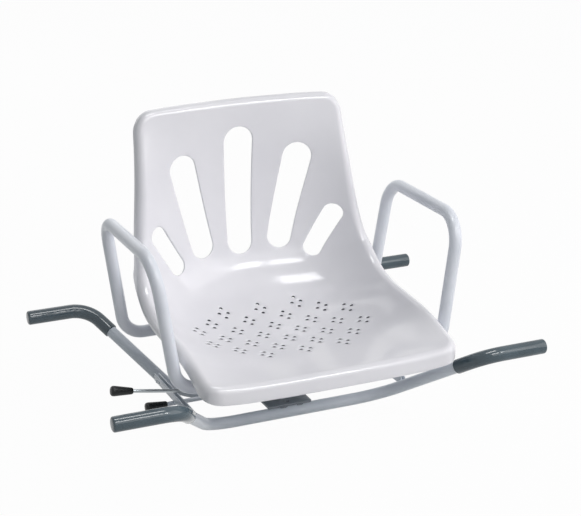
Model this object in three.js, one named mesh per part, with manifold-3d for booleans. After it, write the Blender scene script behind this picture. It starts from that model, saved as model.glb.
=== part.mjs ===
// Swivelling bath seat: a moulded seat with two arm loops turns on a tubular frame whose four
// sleeved ends rest on the rims of a bath. Millimetres, +Z up. The origin is on the ground below the
// swivel axis, the sitter faces -Y, and left and right are as seen from the front (left is -X).
import * as THREE from 'three';
import { mergeVertices } from 'three/addons/utils/BufferGeometryUtils.js';
import Module from 'manifold-3d';

const wasm = await Module();
wasm.setup();

// Driving dimensions of the frame that spans the bath
const SPAN_HALF = 368;
const RIM_ROW_HALF = 244.7;
const RIM_HEIGHT = 126;
const RIM_BEND_X = 260.7;
const BASE_TUBE_RADIUS = 10;
const BASE_TUBE_WALL = 1.6;
const LOWER_BEND_X = 154;
const LOWER_RUN_Y = 67.1;
const UPPER_BEND_RADIUS = 52;
const LOWER_BEND_RADIUS = 80;
const TUBE_SIDES = 12;
const TUBE_BORE_SIDES = 8;
const BEND_STEPS = 5;

// Sleeves on the four frame ends
const GRIP_RADIUS = 12.2;
const GRIP_END_WALL = 2.6;
const GRIP_SLANT_SHARE = 0.26;

// Channels, open at the top, that tie the front and rear tubes together. Their nearest corner runs
// into the tube's clearance by the trim, which shapes the end to the tube.
const TIE_BAR_SHARE = 0.3;
const TIE_BAR_WIDTH = 9;
const TIE_BAR_TOP = 47.3;
const TIE_BAR_DEPTH = 13;
const TIE_BAR_WALL = 2;
const TIE_BAR_TRIM = 1.5861;
const TIE_HOLE_RADIUS = 1.8;
const TIE_HOLE_DROP = 7.3;
const TIE_HOLE_SPACING = 10;
const TIE_HOLE_INSET = 15;

// Centre plate on top of the two lower runs, and its side tab under the levers
const PLATE_LEFT_X = -49;
const PLATE_RIGHT_X = 29;
const PLATE_HALF_LENGTH = 70;
const PLATE_THICKNESS = 4;
const PLATE_TAB_REACH = 70;
const PLATE_TAB_HALF_LENGTH = 32;
const PLATE_HOLE_X = 10.6;
const PLATE_HOLE_Y = 57.9;
const PLATE_HOLE_RADIUS = 4;

// Swivel: fixed post, turning sleeve, its index plate, and the bushes between post and sleeve
const POST_RADIUS = 15;
const POST_FLANGE_HALF_WIDTH = 18;
const POST_FLANGE_HALF_LENGTH = 48;
const POST_FLANGE_THICKNESS = 4;
const BUSH_WALL = 1.5;
const BUSH_LENGTH = 22;
const BUSH_FLANGE_THICKNESS = 2;
const SLEEVE_WALL = 3.5;
const RUNNING_GAP = 0.3;
const INDEX_PLATE_RADIUS = 66;
const INDEX_PLATE_THICKNESS = 4;
const INDEX_PLATE_HEIGHT = 52;
const INDEX_HOLE_RADIUS = 7;
const RETAINER_RADIUS = 26;
const RETAINER_THICKNESS = 3;
const RETAINER_BOLT_RADIUS = 6;
const RETAINER_BOLT_LENGTH = 28;
const RETAINER_HEAD_RADIUS = 10.5;
const RETAINER_HEAD_HEIGHT = 7.5;

// Top plate that turns with the seat
const TOP_PLATE_HALF_WIDTH = 90;
const TOP_PLATE_FRONT = 160;
const TOP_PLATE_REAR = 140;
const TOP_PLATE_THICKNESS = 4;
const TOP_PLATE_CORNER_RADIUS = 14;

// Arm loops
const ARM_TUBE_RADIUS = 10.4;
const ARM_TUBE_WALL = 1.5;
const ARM_TUBE_SIDES = 10;
const ARM_BORE_SIDES = 6;
const ARM_FOOT_X = 230.5;
const ARM_FOOT_HEIGHT = 116.2;
const ARM_FOOT_FRONT_Y = -144;
const ARM_FOOT_REAR_Y = 124.1;
const ARM_TOP_X = 261.3;
const ARM_TOP_HEIGHT = 330.6;
const ARM_TOP_FRONT_Y = -145.2;
const ARM_TOP_REAR_Y = 106.4;
const ARM_INNER_END_X = 42;
const ARM_FOOT_BEND_RADIUS = 39;
const ARM_TOP_FRONT_RADIUS = 52;
const ARM_TOP_REAR_RADIUS = 48;

// Seat shell
const SEAT_FRONT_Y = -242;
const SEAT_REAR_Y = 173;
const SEAT_TOP_HEIGHT = 132.5;
const BACK_TOP_HEIGHT = 490;
const SHELL_HALF_WIDTH = 216;
const SHELL_WALL = 4;
const SHELL_LIP_RADIUS = 12;
const FRONT_SKIRT_DEPTH = 17;
const SHELL_FRONT_CORNER_RADIUS = 29;
const SHELL_TOP_CORNER_RADIUS = 34;
const SHELL_SKIRT_DRAFT = 0.05;
const SHELL_ROWS = 24;
const SHELL_COLUMNS = 12;
const CORNER_STEPS = 2;
const LIP_STEPS = 3;
const BOSS_RADIUS = 9;
const BOSS_X = 64;
const BOSS_FRONT_Y = -96;
const BOSS_REAR_Y = 62;

// Slots of the back, as ends of their centre lines, and the drain holes of the seat
const SLOT_SIDES = 10;
const MIDDLE_SLOT = { topX: 0, topZ: 417.7, topRadius: 26, footX: 0, footZ: 233, footRadius: 23.5 };
const INNER_SLOT = { topX: 101, topZ: 381.4, topRadius: 25, footX: 74.3, footZ: 232.7, footRadius: 22.5 };
const OUTER_SLOT = { topX: 155.5, topZ: 278.1, topRadius: 16, footX: 128.6, footZ: 209.5, footRadius: 16 };
const DRAIN_COLUMN_PITCH = 67.4;
const DRAIN_ROW_PITCH = 32.3;
const DRAIN_FIRST_ROW_Y = 80;
const DRAIN_ROW_COUNTS = [3, 4, 5, 4, 5, 4, 3];
const DRAIN_HOLE_RADIUS = 2.9;
const DRAIN_HOLE_SIDES = 6;
const DRAIN_SPREAD_X = 8;
const DRAIN_SPREAD_Y = 13;
const DRAIN_CUT_TOP = 204;

// Lock lever: a rod with a knob that tilts up about a pin along Y
const LOCK_LEVER_Y = -24;
const LOCK_PIVOT_X = -23;
const LOCK_PIVOT_HEIGHT = 32.8;
const LOCK_ROD_RADIUS = 3;
const LOCK_ROD_TILT = 0.176;
const LOCK_ROD_END_X = -266.5;
const KNOB_LENGTH = 38;
const KNOB_RADIUS = 8.6;
const LOCK_PIN_X = -54;
const LOCK_PIN_RADIUS = 4;
const LOCK_PIN_GAP = 1.6;
const LOCK_PIN_TIP_LENGTH = 1;
const LOCK_PIN_TIP_SHARE = 0.75;
const LOCK_HOLE_X = -51.6;
const LOCK_EYE_RADIUS = 4.8;
const PIVOT_PIN_RADIUS = 2.5;
const PIVOT_PIN_OVERHANG = 2.5;
const BRACKET_WALL = 2.5;
const BRACKET_HALF_LENGTH = 4.6;
const BRACKET_TOP_MARGIN = 4.4;
const BRACKET_FOOT = 9;
const BRACKET_LIP = 3;

// Brake lever: a flat bar with a cam head that swings level about an upright bolt
const BRAKE_PIVOT_X = -50;
const BRAKE_PIVOT_Y = 8;
const BRAKE_BAR_WIDTH = 9;
const BRAKE_BAR_THICKNESS = 4.6;
const BRAKE_BAR_END_X = -199;
const BRAKE_CAM_RADIUS = 20;
const BRAKE_CAM_OFFSET = 9.5;
const BRAKE_CAM_DEGREES = -34;
const BRAKE_CAM_THICKNESS = 10.6;
const BRAKE_BOLT_RADIUS = 4;
const BRAKE_HEAD_RADIUS = 7;
const BRAKE_HEAD_HEIGHT = 4;

// Screws
const SCREW_RADIUS = 3;
const SCREW_HEAD_RADIUS = 5.6;
const SCREW_HEAD_HEIGHT = 3.8;
const SCREW_SIDES = 6;
const SCREW_CROWN_SHARE = 0.8;
const PLATE_SCREW_X = 10;
const PLATE_SCREW_Y = 40;
const PLATE_SCREW_LENGTH = 9.5;
const ARM_SCREW_X = 60;
const ARM_SCREW_BITE = 4;
const BOSS_SCREW_BITE = 10;

// Clearances
const SEAT_GAP = 0.3;
const HOLE_GAP = 0.4;
const OVERRUN = 2;

// Fineness of round shapes, of sampled curves and of welded corners
const ROUND_SIDES = 20;
const SMALL_ROUND_SIDES = 12;
const SLEEVE_SIDES = 28;
const PLATE_CORNER_STEPS = 4;
const ARC_DIVISIONS = 600;
const SAMPLE_STEP = 0.5;
const HALVINGS = 30;
const WELD_DISTANCE = 0.001;

// Materials
function paint(color, roughness, metalness) {
  return new THREE.MeshStandardMaterial({ color, roughness, metalness });
}

const frameCoat = () => paint(0x9fb0b8, 0.38, 0.1);
const armCoat = () => paint(0xe6e6ee, 0.3, 0.05);
const gripVinyl = () => paint(0x4c606c, 0.3, 0);
const seatPlastic = () => paint(0xeeedf2, 0.22, 0);
const knobPlastic = () => paint(0x1a1c1d, 0.4, 0);
const brightSteel = () => paint(0xc2c4c4, 0.28, 0.9);
const bushNylon = () => paint(0xe4e0d4, 0.5, 0);

// Joining and cutting of closed solids
function solidOf(geometry) {
  const bare = geometry.clone();
  bare.deleteAttribute('normal');
  bare.deleteAttribute('uv');
  const welded = mergeVertices(bare, WELD_DISTANCE);
  const vertProperties = new Float32Array(welded.attributes.position.array);
  const triVerts = new Uint32Array(welded.index.array);
  return new wasm.Manifold(new wasm.Mesh({ numProp: 3, vertProperties, triVerts }));
}

function geometryOf(solid) {
  const mesh = solid.getMesh();
  const geometry = new THREE.BufferGeometry();
  geometry.setAttribute('position', new THREE.Float32BufferAttribute(mesh.vertProperties, 3));
  geometry.setIndex(new THREE.Uint32BufferAttribute(mesh.triVerts, 1));
  geometry.computeVertexNormals();
  return geometry;
}

function cut(geometry, ...tools) {
  return geometryOf(tools.reduce((left, tool) => left.subtract(solidOf(tool)), solidOf(geometry)));
}

function join(geometry, ...others) {
  return geometryOf(others.reduce((sum, other) => sum.add(solidOf(other)), solidOf(geometry)));
}

// Basic shapes, already in place. A polygon of a round section has its flats at the radius.
function flatsRadius(radius, sides) {
  return radius / Math.cos(Math.PI / sides);
}

function polygonShape(radius, sides) {
  const shape = new THREE.Shape();
  const corner = flatsRadius(radius, sides);
  for (let i = 0; i < sides; i += 1) {
    const angle = ((i + 0.5) * 2 * Math.PI) / sides;
    const x = corner * Math.cos(angle);
    const y = corner * Math.sin(angle);
    if (i === 0) shape.moveTo(x, y);
    else shape.lineTo(x, y);
  }
  shape.closePath();
  return shape;
}

function uprightRod(x, y, low, high, radius, sides = ROUND_SIDES) {
  const rod = new THREE.CylinderGeometry(radius, radius, high - low, sides);
  rod.rotateX(Math.PI / 2);
  rod.translate(x, y, (low + high) / 2);
  return rod;
}

function rodAlongY(x, z, start, end, radius, sides = SMALL_ROUND_SIDES) {
  const rod = new THREE.CylinderGeometry(radius, radius, end - start, sides);
  rod.translate(x, (start + end) / 2, z);
  return rod;
}

function rodAlongX(y, z, start, end, radius, sides = SMALL_ROUND_SIDES) {
  const rod = new THREE.CylinderGeometry(radius, radius, end - start, sides);
  rod.rotateZ(Math.PI / 2);
  rod.translate((start + end) / 2, y, z);
  return rod;
}

function block(x0, x1, y0, y1, z0, z1) {
  const box = new THREE.BoxGeometry(x1 - x0, y1 - y0, z1 - z0);
  box.translate((x0 + x1) / 2, (y0 + y1) / 2, (z0 + z1) / 2);
  return box;
}

function turned(profile, x, y, sides = ROUND_SIDES) {
  const body = new THREE.LatheGeometry(profile.map(([r, z]) => new THREE.Vector2(r, z)), sides);
  body.rotateX(Math.PI / 2);
  body.translate(x, y, 0);
  return body;
}

// A path of straight runs joined by round bends, stepped only where it bends
class BentPath extends THREE.Curve {
  constructor(corners, radii, bendSteps = BEND_STEPS) {
    super();
    this.stations = [];
    const points = corners.map((corner) => new THREE.Vector3(...corner));
    const direction = (a, b) => b.clone().sub(a).normalize();
    this.stations.push({ point: points[0], tangent: direction(points[0], points[1]) });
    for (let i = 1; i < points.length - 1; i += 1) {
      const into = direction(points[i - 1], points[i]);
      const out = direction(points[i], points[i + 1]);
      const turn = into.angleTo(out);
      const setback = radii[i - 1] * Math.tan(turn / 2);
      const start = points[i].clone().addScaledVector(into, -setback);
      const axis = into.clone().cross(out).normalize();
      const inward = axis.clone().cross(into);
      const centre = start.clone().addScaledVector(inward, radii[i - 1]);
      for (let k = 0; k <= bendSteps; k += 1) {
        const angle = (turn * k) / bendSteps;
        const arm = inward.clone().multiplyScalar(-radii[i - 1]).applyAxisAngle(axis, angle);
        const tangent = into.clone().applyAxisAngle(axis, angle);
        this.stations.push({ point: centre.clone().add(arm), tangent });
      }
    }
    const last = points.length - 1;
    this.stations.push({ point: points[last], tangent: direction(points[last - 1], points[last]) });
  }

  get steps() {
    return this.stations.length - 1;
  }

  stationAt(share) {
    return this.stations[Math.round(share * this.steps)];
  }

  getPoint(share, target = new THREE.Vector3()) {
    return target.copy(this.stationAt(share).point);
  }

  getPointAt(share, target) {
    return this.getPoint(share, target);
  }

  getTangentAt(share, target = new THREE.Vector3()) {
    return target.copy(this.stationAt(share).tangent);
  }
}

function sweptRod(path, radius, sides) {
  const options = { steps: path.steps, bevelEnabled: false, extrudePath: path };
  return new THREE.ExtrudeGeometry(polygonShape(radius, sides), options);
}

function sweptTube(path, radius, wall, sides, boreSides) {
  const shape = polygonShape(radius, sides);
  shape.holes.push(polygonShape(radius - wall, boreSides));
  return new THREE.ExtrudeGeometry(shape, { steps: path.steps, bevelEnabled: false, extrudePath: path });
}

// Scene graph: one group for each moving body
const group = new THREE.Group();
const baseFrame = new THREE.Group();
const seatSwivel = new THREE.Group();
const lockLever = new THREE.Group();
const brakeLever = new THREE.Group();
group.add(baseFrame, seatSwivel, lockLever, brakeLever);

function addPart(body, name, geometry, material) {
  const mesh = new THREE.Mesh(geometry, material);
  mesh.name = name;
  body.add(mesh);
  return mesh;
}

// Frame tubes. Both ends of each tube lie level on the bath rims, and its middle hangs lower.
const lowerRunHeight = BASE_TUBE_RADIUS;
const tubeEndX = SPAN_HALF - GRIP_END_WALL - SEAT_GAP;

function slantPoint(side, row, share) {
  const x = side * THREE.MathUtils.lerp(LOWER_BEND_X, RIM_BEND_X, share);
  const y = row * THREE.MathUtils.lerp(LOWER_RUN_Y, RIM_ROW_HALF, share);
  return [x, y, THREE.MathUtils.lerp(lowerRunHeight, RIM_HEIGHT, share)];
}

function baseTubePath(row) {
  const corners = [
    [-tubeEndX, row * RIM_ROW_HALF, RIM_HEIGHT],
    slantPoint(-1, row, 1),
    slantPoint(-1, row, 0),
    slantPoint(1, row, 0),
    slantPoint(1, row, 1),
    [tubeEndX, row * RIM_ROW_HALF, RIM_HEIGHT],
  ];
  return new BentPath(corners, [UPPER_BEND_RADIUS, LOWER_BEND_RADIUS, LOWER_BEND_RADIUS, UPPER_BEND_RADIUS]);
}

function gripPath(side, row, endX, slantShare) {
  const corners = [
    [side * endX, row * RIM_ROW_HALF, RIM_HEIGHT],
    slantPoint(side, row, 1),
    slantPoint(side, row, slantShare),
  ];
  return new BentPath(corners, [UPPER_BEND_RADIUS]);
}

for (const [rowName, row] of [['front', -1], ['rear', 1]]) {
  const tube = sweptTube(baseTubePath(row), BASE_TUBE_RADIUS, BASE_TUBE_WALL, TUBE_SIDES, TUBE_BORE_SIDES);
  addPart(baseFrame, `${rowName}_base_tube`, tube, frameCoat());
  for (const [sideName, side] of [['left', -1], ['right', 1]]) {
    const sleeve = sweptRod(gripPath(side, row, SPAN_HALF, 1 - GRIP_SLANT_SHARE), GRIP_RADIUS, TUBE_SIDES);
    const boreEnd = SPAN_HALF - GRIP_END_WALL;
    const boreShare = 1 - GRIP_SLANT_SHARE - OVERRUN / RIM_HEIGHT;
    const bore = sweptRod(gripPath(side, row, boreEnd, boreShare), BASE_TUBE_RADIUS + SEAT_GAP, TUBE_SIDES);
    addPart(baseFrame, `${rowName}_${sideName}_grip`, cut(sleeve, bore), gripVinyl());
  }
}

// Tie bars run level between the slanted runs, with their ends shaped to the tubes. Each has two
// small holes in its outer wall, close to its rear end.
const [tieBarX, tieBarY, tieBarAxisHeight] = slantPoint(1, 1, TIE_BAR_SHARE);
const tieBarUnderside = TIE_BAR_TOP - TIE_BAR_DEPTH;

// How far from the tube's centre line, along the bar, its inner lower corner meets the clearance
function tieBarSetback() {
  const [start, end] = [0, 1].map((share) => new THREE.Vector3(...slantPoint(1, 1, share)));
  const direction = end.sub(start).normalize();
  const corner = new THREE.Vector3(-TIE_BAR_WIDTH / 2, 0, tieBarUnderside - tieBarAxisHeight);
  const along = corner.dot(direction);
  const square = 1 - direction.y ** 2;
  const excess = corner.lengthSq() - along ** 2 - (BASE_TUBE_RADIUS + SEAT_GAP) ** 2;
  return (Math.sqrt((along * direction.y) ** 2 - square * excess) - along * direction.y) / square;
}

const tieBarHalfLength = tieBarY - tieBarSetback() + TIE_BAR_TRIM;
const tubeClearances = [-1, 1].map((row) => (
  sweptRod(baseTubePath(row), BASE_TUBE_RADIUS + SEAT_GAP, TUBE_SIDES)));

for (const [sideName, side] of [['left', -1], ['right', 1]]) {
  const x = side * tieBarX;
  const [outer, inner] = [TIE_BAR_WIDTH / 2, TIE_BAR_WIDTH / 2 - TIE_BAR_WALL];
  const bar = block(x - outer, x + outer, -tieBarHalfLength, tieBarHalfLength, tieBarUnderside, TIE_BAR_TOP);
  const trough = block(x - inner, x + inner, -tieBarHalfLength - OVERRUN, tieBarHalfLength + OVERRUN,
    tieBarUnderside + TIE_BAR_WALL, TIE_BAR_TOP + OVERRUN);
  const outerFace = side * (tieBarX + outer + OVERRUN);
  const [holeStart, holeEnd] = [Math.min(x, outerFace), Math.max(x, outerFace)];
  const holes = [0, 1].map((step) => rodAlongX(tieBarHalfLength - TIE_HOLE_INSET - step * TIE_HOLE_SPACING,
    TIE_BAR_TOP - TIE_HOLE_DROP, holeStart, holeEnd, TIE_HOLE_RADIUS, SCREW_SIDES));
  addPart(baseFrame, `${sideName}_tie_bar`, cut(bar, trough, ...tubeClearances, ...holes), frameCoat());
}

// Centre plate, welded on top of the lower runs, with a tab that carries both levers
const plateUnderside = lowerRunHeight + BASE_TUBE_RADIUS + SEAT_GAP;
const plateTop = plateUnderside + PLATE_THICKNESS;
const flangeUnderside = plateTop + SEAT_GAP;
const flangeTop = flangeUnderside + POST_FLANGE_THICKNESS;
const plateScrewPlaces = [];
for (const sideX of [-1, 1]) {
  for (const sideY of [-1, 1]) plateScrewPlaces.push([sideX * PLATE_SCREW_X, sideY * PLATE_SCREW_Y]);
}

function throughHole(x, y, low, high, radius, sides = SCREW_SIDES) {
  return uprightRod(x, y, low - OVERRUN, high + OVERRUN, radius + HOLE_GAP, sides);
}

const plateSlab = block(PLATE_LEFT_X, PLATE_RIGHT_X, -PLATE_HALF_LENGTH, PLATE_HALF_LENGTH,
  plateUnderside, plateTop);
const plateTab = block(-PLATE_TAB_REACH, 0, -PLATE_TAB_HALF_LENGTH, PLATE_TAB_HALF_LENGTH,
  plateUnderside, plateTop);
const plateHoles = plateScrewPlaces.map(([x, y]) => (
  throughHole(x, y, plateUnderside, plateTop, SCREW_RADIUS)));
plateHoles.push(throughHole(BRAKE_PIVOT_X, BRAKE_PIVOT_Y, plateUnderside, plateTop, BRAKE_BOLT_RADIUS,
  SMALL_ROUND_SIDES));
for (const row of [-1, 1]) {
  plateHoles.push(uprightRod(row * PLATE_HOLE_X, row * PLATE_HOLE_Y, plateUnderside - OVERRUN,
    plateTop + OVERRUN, PLATE_HOLE_RADIUS, SMALL_ROUND_SIDES));
}
addPart(baseFrame, 'centre_plate', cut(join(plateSlab, plateTab), ...plateHoles), frameCoat());

// Top plate of the seat, and the heights of what stands between the two plates
const armUnderside = ARM_FOOT_HEIGHT - flatsRadius(ARM_TUBE_RADIUS, ARM_TUBE_SIDES);
const topPlateTop = armUnderside - SEAT_GAP;
const topPlateUnderside = topPlateTop - TOP_PLATE_THICKNESS;
const bushRadius = POST_RADIUS + RUNNING_GAP + BUSH_WALL;
const sleeveBore = bushRadius + RUNNING_GAP;
const sleeveRadius = sleeveBore + SLEEVE_WALL;
const sleeveUnderside = flangeTop + 2 * SEAT_GAP + BUSH_FLANGE_THICKNESS;
const sleeveTop = topPlateUnderside - SEAT_GAP;
const upperFlangeTop = topPlateTop + SEAT_GAP + BUSH_FLANGE_THICKNESS;
const postTop = upperFlangeTop;
const retainerUnderside = postTop + SEAT_GAP;
const retainerTop = retainerUnderside + RETAINER_THICKNESS;

// Fixed post with its screwed flange. Its top is bored for the retaining bolt.
const postFlange = block(-POST_FLANGE_HALF_WIDTH, POST_FLANGE_HALF_WIDTH, -POST_FLANGE_HALF_LENGTH,
  POST_FLANGE_HALF_LENGTH, flangeUnderside, flangeTop);
const postBarrel = uprightRod(0, 0, flangeUnderside, postTop, POST_RADIUS);
const retainerShankEnd = retainerTop + SEAT_GAP - RETAINER_BOLT_LENGTH;
const postHoles = plateScrewPlaces.map(([x, y]) => (
  throughHole(x, y, flangeUnderside, flangeTop, SCREW_RADIUS)));
postHoles.push(uprightRod(0, 0, retainerShankEnd - OVERRUN, postTop + OVERRUN,
  RETAINER_BOLT_RADIUS + HOLE_GAP, SMALL_ROUND_SIDES));
addPart(baseFrame, 'pivot_post', cut(join(postFlange, postBarrel), ...postHoles), frameCoat());

// A screw whose head lies at headHeight: above it with up = 1, or below it with up = -1
function screw(x, y, headHeight, up, length, radius = SCREW_RADIUS, headRadius = SCREW_HEAD_RADIUS,
  headDepth = SCREW_HEAD_HEIGHT, sides = SCREW_SIDES) {
  const crown = headRadius * SCREW_CROWN_SHARE;
  const profile = [
    [0, headHeight - up * length],
    [radius, headHeight - up * length],
    [radius, headHeight],
    [headRadius, headHeight],
    [headRadius, headHeight + (up * headDepth) / 2],
    [crown, headHeight + up * headDepth],
    [0, headHeight + up * headDepth],
  ];
  if (up < 0) profile.reverse();
  return turned(profile, x, y, sides);
}

const sideOf = (x) => (x < 0 ? 'left' : 'right');
const rowOf = (y) => (y < 0 ? 'front' : 'rear');
for (const [x, y] of plateScrewPlaces) {
  addPart(baseFrame, `post_screw_${rowOf(y)}_${sideOf(x)}`, screw(x, y, flangeTop + SEAT_GAP, 1,
    PLATE_SCREW_LENGTH), brightSteel());
}

// Bushes between post and sleeve, flanged where they carry the sleeve and the top plate
function bush(flangeLow, flangeHigh, barrelEnd) {
  const bore = POST_RADIUS + RUNNING_GAP;
  const profile = barrelEnd > flangeHigh
    ? [[bore, flangeLow], [sleeveRadius, flangeLow], [sleeveRadius, flangeHigh], [bushRadius, flangeHigh],
      [bushRadius, barrelEnd], [bore, barrelEnd], [bore, flangeLow]]
    : [[bore, barrelEnd], [bushRadius, barrelEnd], [bushRadius, flangeLow], [sleeveRadius, flangeLow],
      [sleeveRadius, flangeHigh], [bore, flangeHigh], [bore, barrelEnd]];
  return turned(profile, 0, 0);
}

const lowerFlange = flangeTop + SEAT_GAP;
addPart(baseFrame, 'lower_bush', bush(lowerFlange, lowerFlange + BUSH_FLANGE_THICKNESS,
  lowerFlange + BUSH_LENGTH), bushNylon());
addPart(baseFrame, 'upper_bush', bush(topPlateTop + SEAT_GAP, upperFlangeTop,
  upperFlangeTop - BUSH_LENGTH), bushNylon());

const retainer = turned([
  [RETAINER_BOLT_RADIUS + HOLE_GAP, retainerUnderside],
  [RETAINER_RADIUS, retainerUnderside],
  [RETAINER_RADIUS, retainerTop],
  [RETAINER_BOLT_RADIUS + HOLE_GAP, retainerTop],
  [RETAINER_BOLT_RADIUS + HOLE_GAP, retainerUnderside],
], 0, 0);
addPart(baseFrame, 'retaining_washer', retainer, brightSteel());
addPart(baseFrame, 'retaining_bolt', screw(0, 0, retainerTop + SEAT_GAP, 1, RETAINER_BOLT_LENGTH,
  RETAINER_BOLT_RADIUS, RETAINER_HEAD_RADIUS, RETAINER_HEAD_HEIGHT), brightSteel());

// A round washer or tube about the swivel axis
function ringAbout(bore, radius, low, high) {
  return turned([[bore, low], [radius, low], [radius, high], [bore, high], [bore, low]], 0, 0, SLEEVE_SIDES);
}

// Turning sleeve, and the index plate welded round it: four holes, a quarter turn apart, take the lock pin
addPart(seatSwivel, 'turning_sleeve', ringAbout(sleeveBore, sleeveRadius, sleeveUnderside, sleeveTop),
  frameCoat());
const indexPlateTop = INDEX_PLATE_HEIGHT + INDEX_PLATE_THICKNESS;
const indexRing = ringAbout(sleeveRadius + SEAT_GAP, INDEX_PLATE_RADIUS, INDEX_PLATE_HEIGHT, indexPlateTop);
const indexHoles = [];
for (let quarter = 0; quarter < 4; quarter += 1) {
  const place = new THREE.Vector2(LOCK_HOLE_X, LOCK_LEVER_Y);
  place.rotateAround(new THREE.Vector2(), (quarter * Math.PI) / 2);
  indexHoles.push(uprightRod(place.x, place.y, INDEX_PLATE_HEIGHT - OVERRUN, indexPlateTop + OVERRUN,
    INDEX_HOLE_RADIUS, SMALL_ROUND_SIDES));
}
addPart(seatSwivel, 'index_plate', cut(indexRing, ...indexHoles), frameCoat());

// Top plate, with holes for the post, the arm screws and the seat screws
function roundedPlate(halfWidth, front, rear, radius, low, high) {
  const shape = new THREE.Shape();
  shape.moveTo(-halfWidth + radius, -front);
  shape.lineTo(halfWidth - radius, -front);
  shape.absarc(halfWidth - radius, -front + radius, radius, -Math.PI / 2, 0);
  shape.absarc(halfWidth - radius, rear - radius, radius, 0, Math.PI / 2);
  shape.absarc(-halfWidth + radius, rear - radius, radius, Math.PI / 2, Math.PI);
  shape.absarc(-halfWidth + radius, -front + radius, radius, Math.PI, 1.5 * Math.PI);
  const options = { depth: high - low, bevelEnabled: false, curveSegments: PLATE_CORNER_STEPS };
  const plate = new THREE.ExtrudeGeometry(shape, options);
  plate.translate(0, 0, low);
  return plate;
}

const armScrewPlaces = [];
const bossPlaces = [];
for (const side of [-1, 1]) {
  armScrewPlaces.push([side * ARM_SCREW_X, ARM_FOOT_FRONT_Y], [side * ARM_SCREW_X, ARM_FOOT_REAR_Y]);
  bossPlaces.push([side * BOSS_X, BOSS_FRONT_Y], [side * BOSS_X, BOSS_REAR_Y]);
}
const topPlateHoles = [...armScrewPlaces, ...bossPlaces].map(([x, y]) => (
  throughHole(x, y, topPlateUnderside, topPlateTop, SCREW_RADIUS)));
topPlateHoles.push(uprightRod(0, 0, topPlateUnderside - OVERRUN, topPlateTop + OVERRUN, sleeveBore));
const topPlate = roundedPlate(TOP_PLATE_HALF_WIDTH, TOP_PLATE_FRONT, TOP_PLATE_REAR, TOP_PLATE_CORNER_RADIUS,
  topPlateUnderside, topPlateTop);
addPart(seatSwivel, 'top_plate', cut(topPlate, ...topPlateHoles), frameCoat());

// Arm loops: each runs out under the seat, up, back, down and in again
function armPath(side) {
  const corners = [
    [side * ARM_INNER_END_X, ARM_FOOT_FRONT_Y, ARM_FOOT_HEIGHT],
    [side * ARM_FOOT_X, ARM_FOOT_FRONT_Y, ARM_FOOT_HEIGHT],
    [side * ARM_TOP_X, ARM_TOP_FRONT_Y, ARM_TOP_HEIGHT],
    [side * ARM_TOP_X, ARM_TOP_REAR_Y, ARM_TOP_HEIGHT],
    [side * ARM_FOOT_X, ARM_FOOT_REAR_Y, ARM_FOOT_HEIGHT],
    [side * ARM_INNER_END_X, ARM_FOOT_REAR_Y, ARM_FOOT_HEIGHT],
  ];
  return new BentPath(corners, [ARM_FOOT_BEND_RADIUS, ARM_TOP_FRONT_RADIUS, ARM_TOP_REAR_RADIUS,
    ARM_FOOT_BEND_RADIUS]);
}

for (const [sideName, side] of [['left', -1], ['right', 1]]) {
  const tube = sweptTube(armPath(side), ARM_TUBE_RADIUS, ARM_TUBE_WALL, ARM_TUBE_SIDES, ARM_BORE_SIDES);
  const holes = [ARM_FOOT_FRONT_Y, ARM_FOOT_REAR_Y].map((y) => (
    uprightRod(side * ARM_SCREW_X, y, armUnderside - OVERRUN, ARM_FOOT_HEIGHT, SCREW_RADIUS + HOLE_GAP,
      SCREW_SIDES)));
  addPart(seatSwivel, `${sideName}_arm_tube`, cut(tube, ...holes), armCoat());
}

const screwHeadHeight = topPlateUnderside - SEAT_GAP;
for (const [x, y] of armScrewPlaces) {
  const length = armUnderside + ARM_SCREW_BITE - screwHeadHeight;
  addPart(seatSwivel, `arm_screw_${rowOf(y)}_${sideOf(x)}`, screw(x, y, screwHeadHeight, -1, length),
    brightSteel());
}
for (const [x, y] of bossPlaces) {
  const length = topPlateTop + BOSS_SCREW_BITE - screwHeadHeight;
  addPart(seatSwivel, `seat_screw_${rowOf(y)}_${sideOf(x)}`, screw(x, y, screwHeadHeight, -1, length),
    brightSteel());
}

// Seat shell. Its centre line runs from the front edge back and up to the top edge, as shares of the
// seat's depth and of the back's height. The rises are how far its sides stand towards the sitter, and
// the skirt is deep along the front edge and at the bend between seat and back.
const profileShares = [
  [0.029, 0.035], [0.159, 0.026], [0.306, 0.013], [0.474, 0.001], [0.636, 0], [0.774, 0.023],
  [0.879, 0.078], [0.955, 0.166], [0.99, 0.278], [1, 0.44], [0.992, 0.692], [0.964, 0.966],
];
const dishRiseShares = [0.01, 0.02, 0.05, 0.045, 0.03, 0.05, 0.11, 0.18, 0.21, 0.19, 0.17, 0.03];
const rimRiseShares = [0.01, 0.115, 0.16, 0.21, 0.26, 0.315, 0.31, 0.235, 0.187, 0.122, 0.05, 0];
const widthShares = [1, 1, 1, 1, 0.99, 0.975, 0.96, 0.945, 0.93, 0.906, 0.872, 0.849];
const skirtShares = [1, 0.45, 0.25, 0.22, 0.3, 0.5, 0.8, 0.9, 0.75, 0.5, 0.35, 0.3];

const profileCurve = new THREE.SplineCurve(profileShares.map(([depthShare, heightShare]) => new THREE.Vector2(
  THREE.MathUtils.lerp(SEAT_FRONT_Y, SEAT_REAR_Y, depthShare),
  THREE.MathUtils.lerp(SEAT_TOP_HEIGHT, BACK_TOP_HEIGHT, heightShare),
)));
profileCurve.arcLengthDivisions = ARC_DIVISIONS;
const profileLength = profileCurve.getLength();
const knots = profileShares.length - 1;

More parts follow.
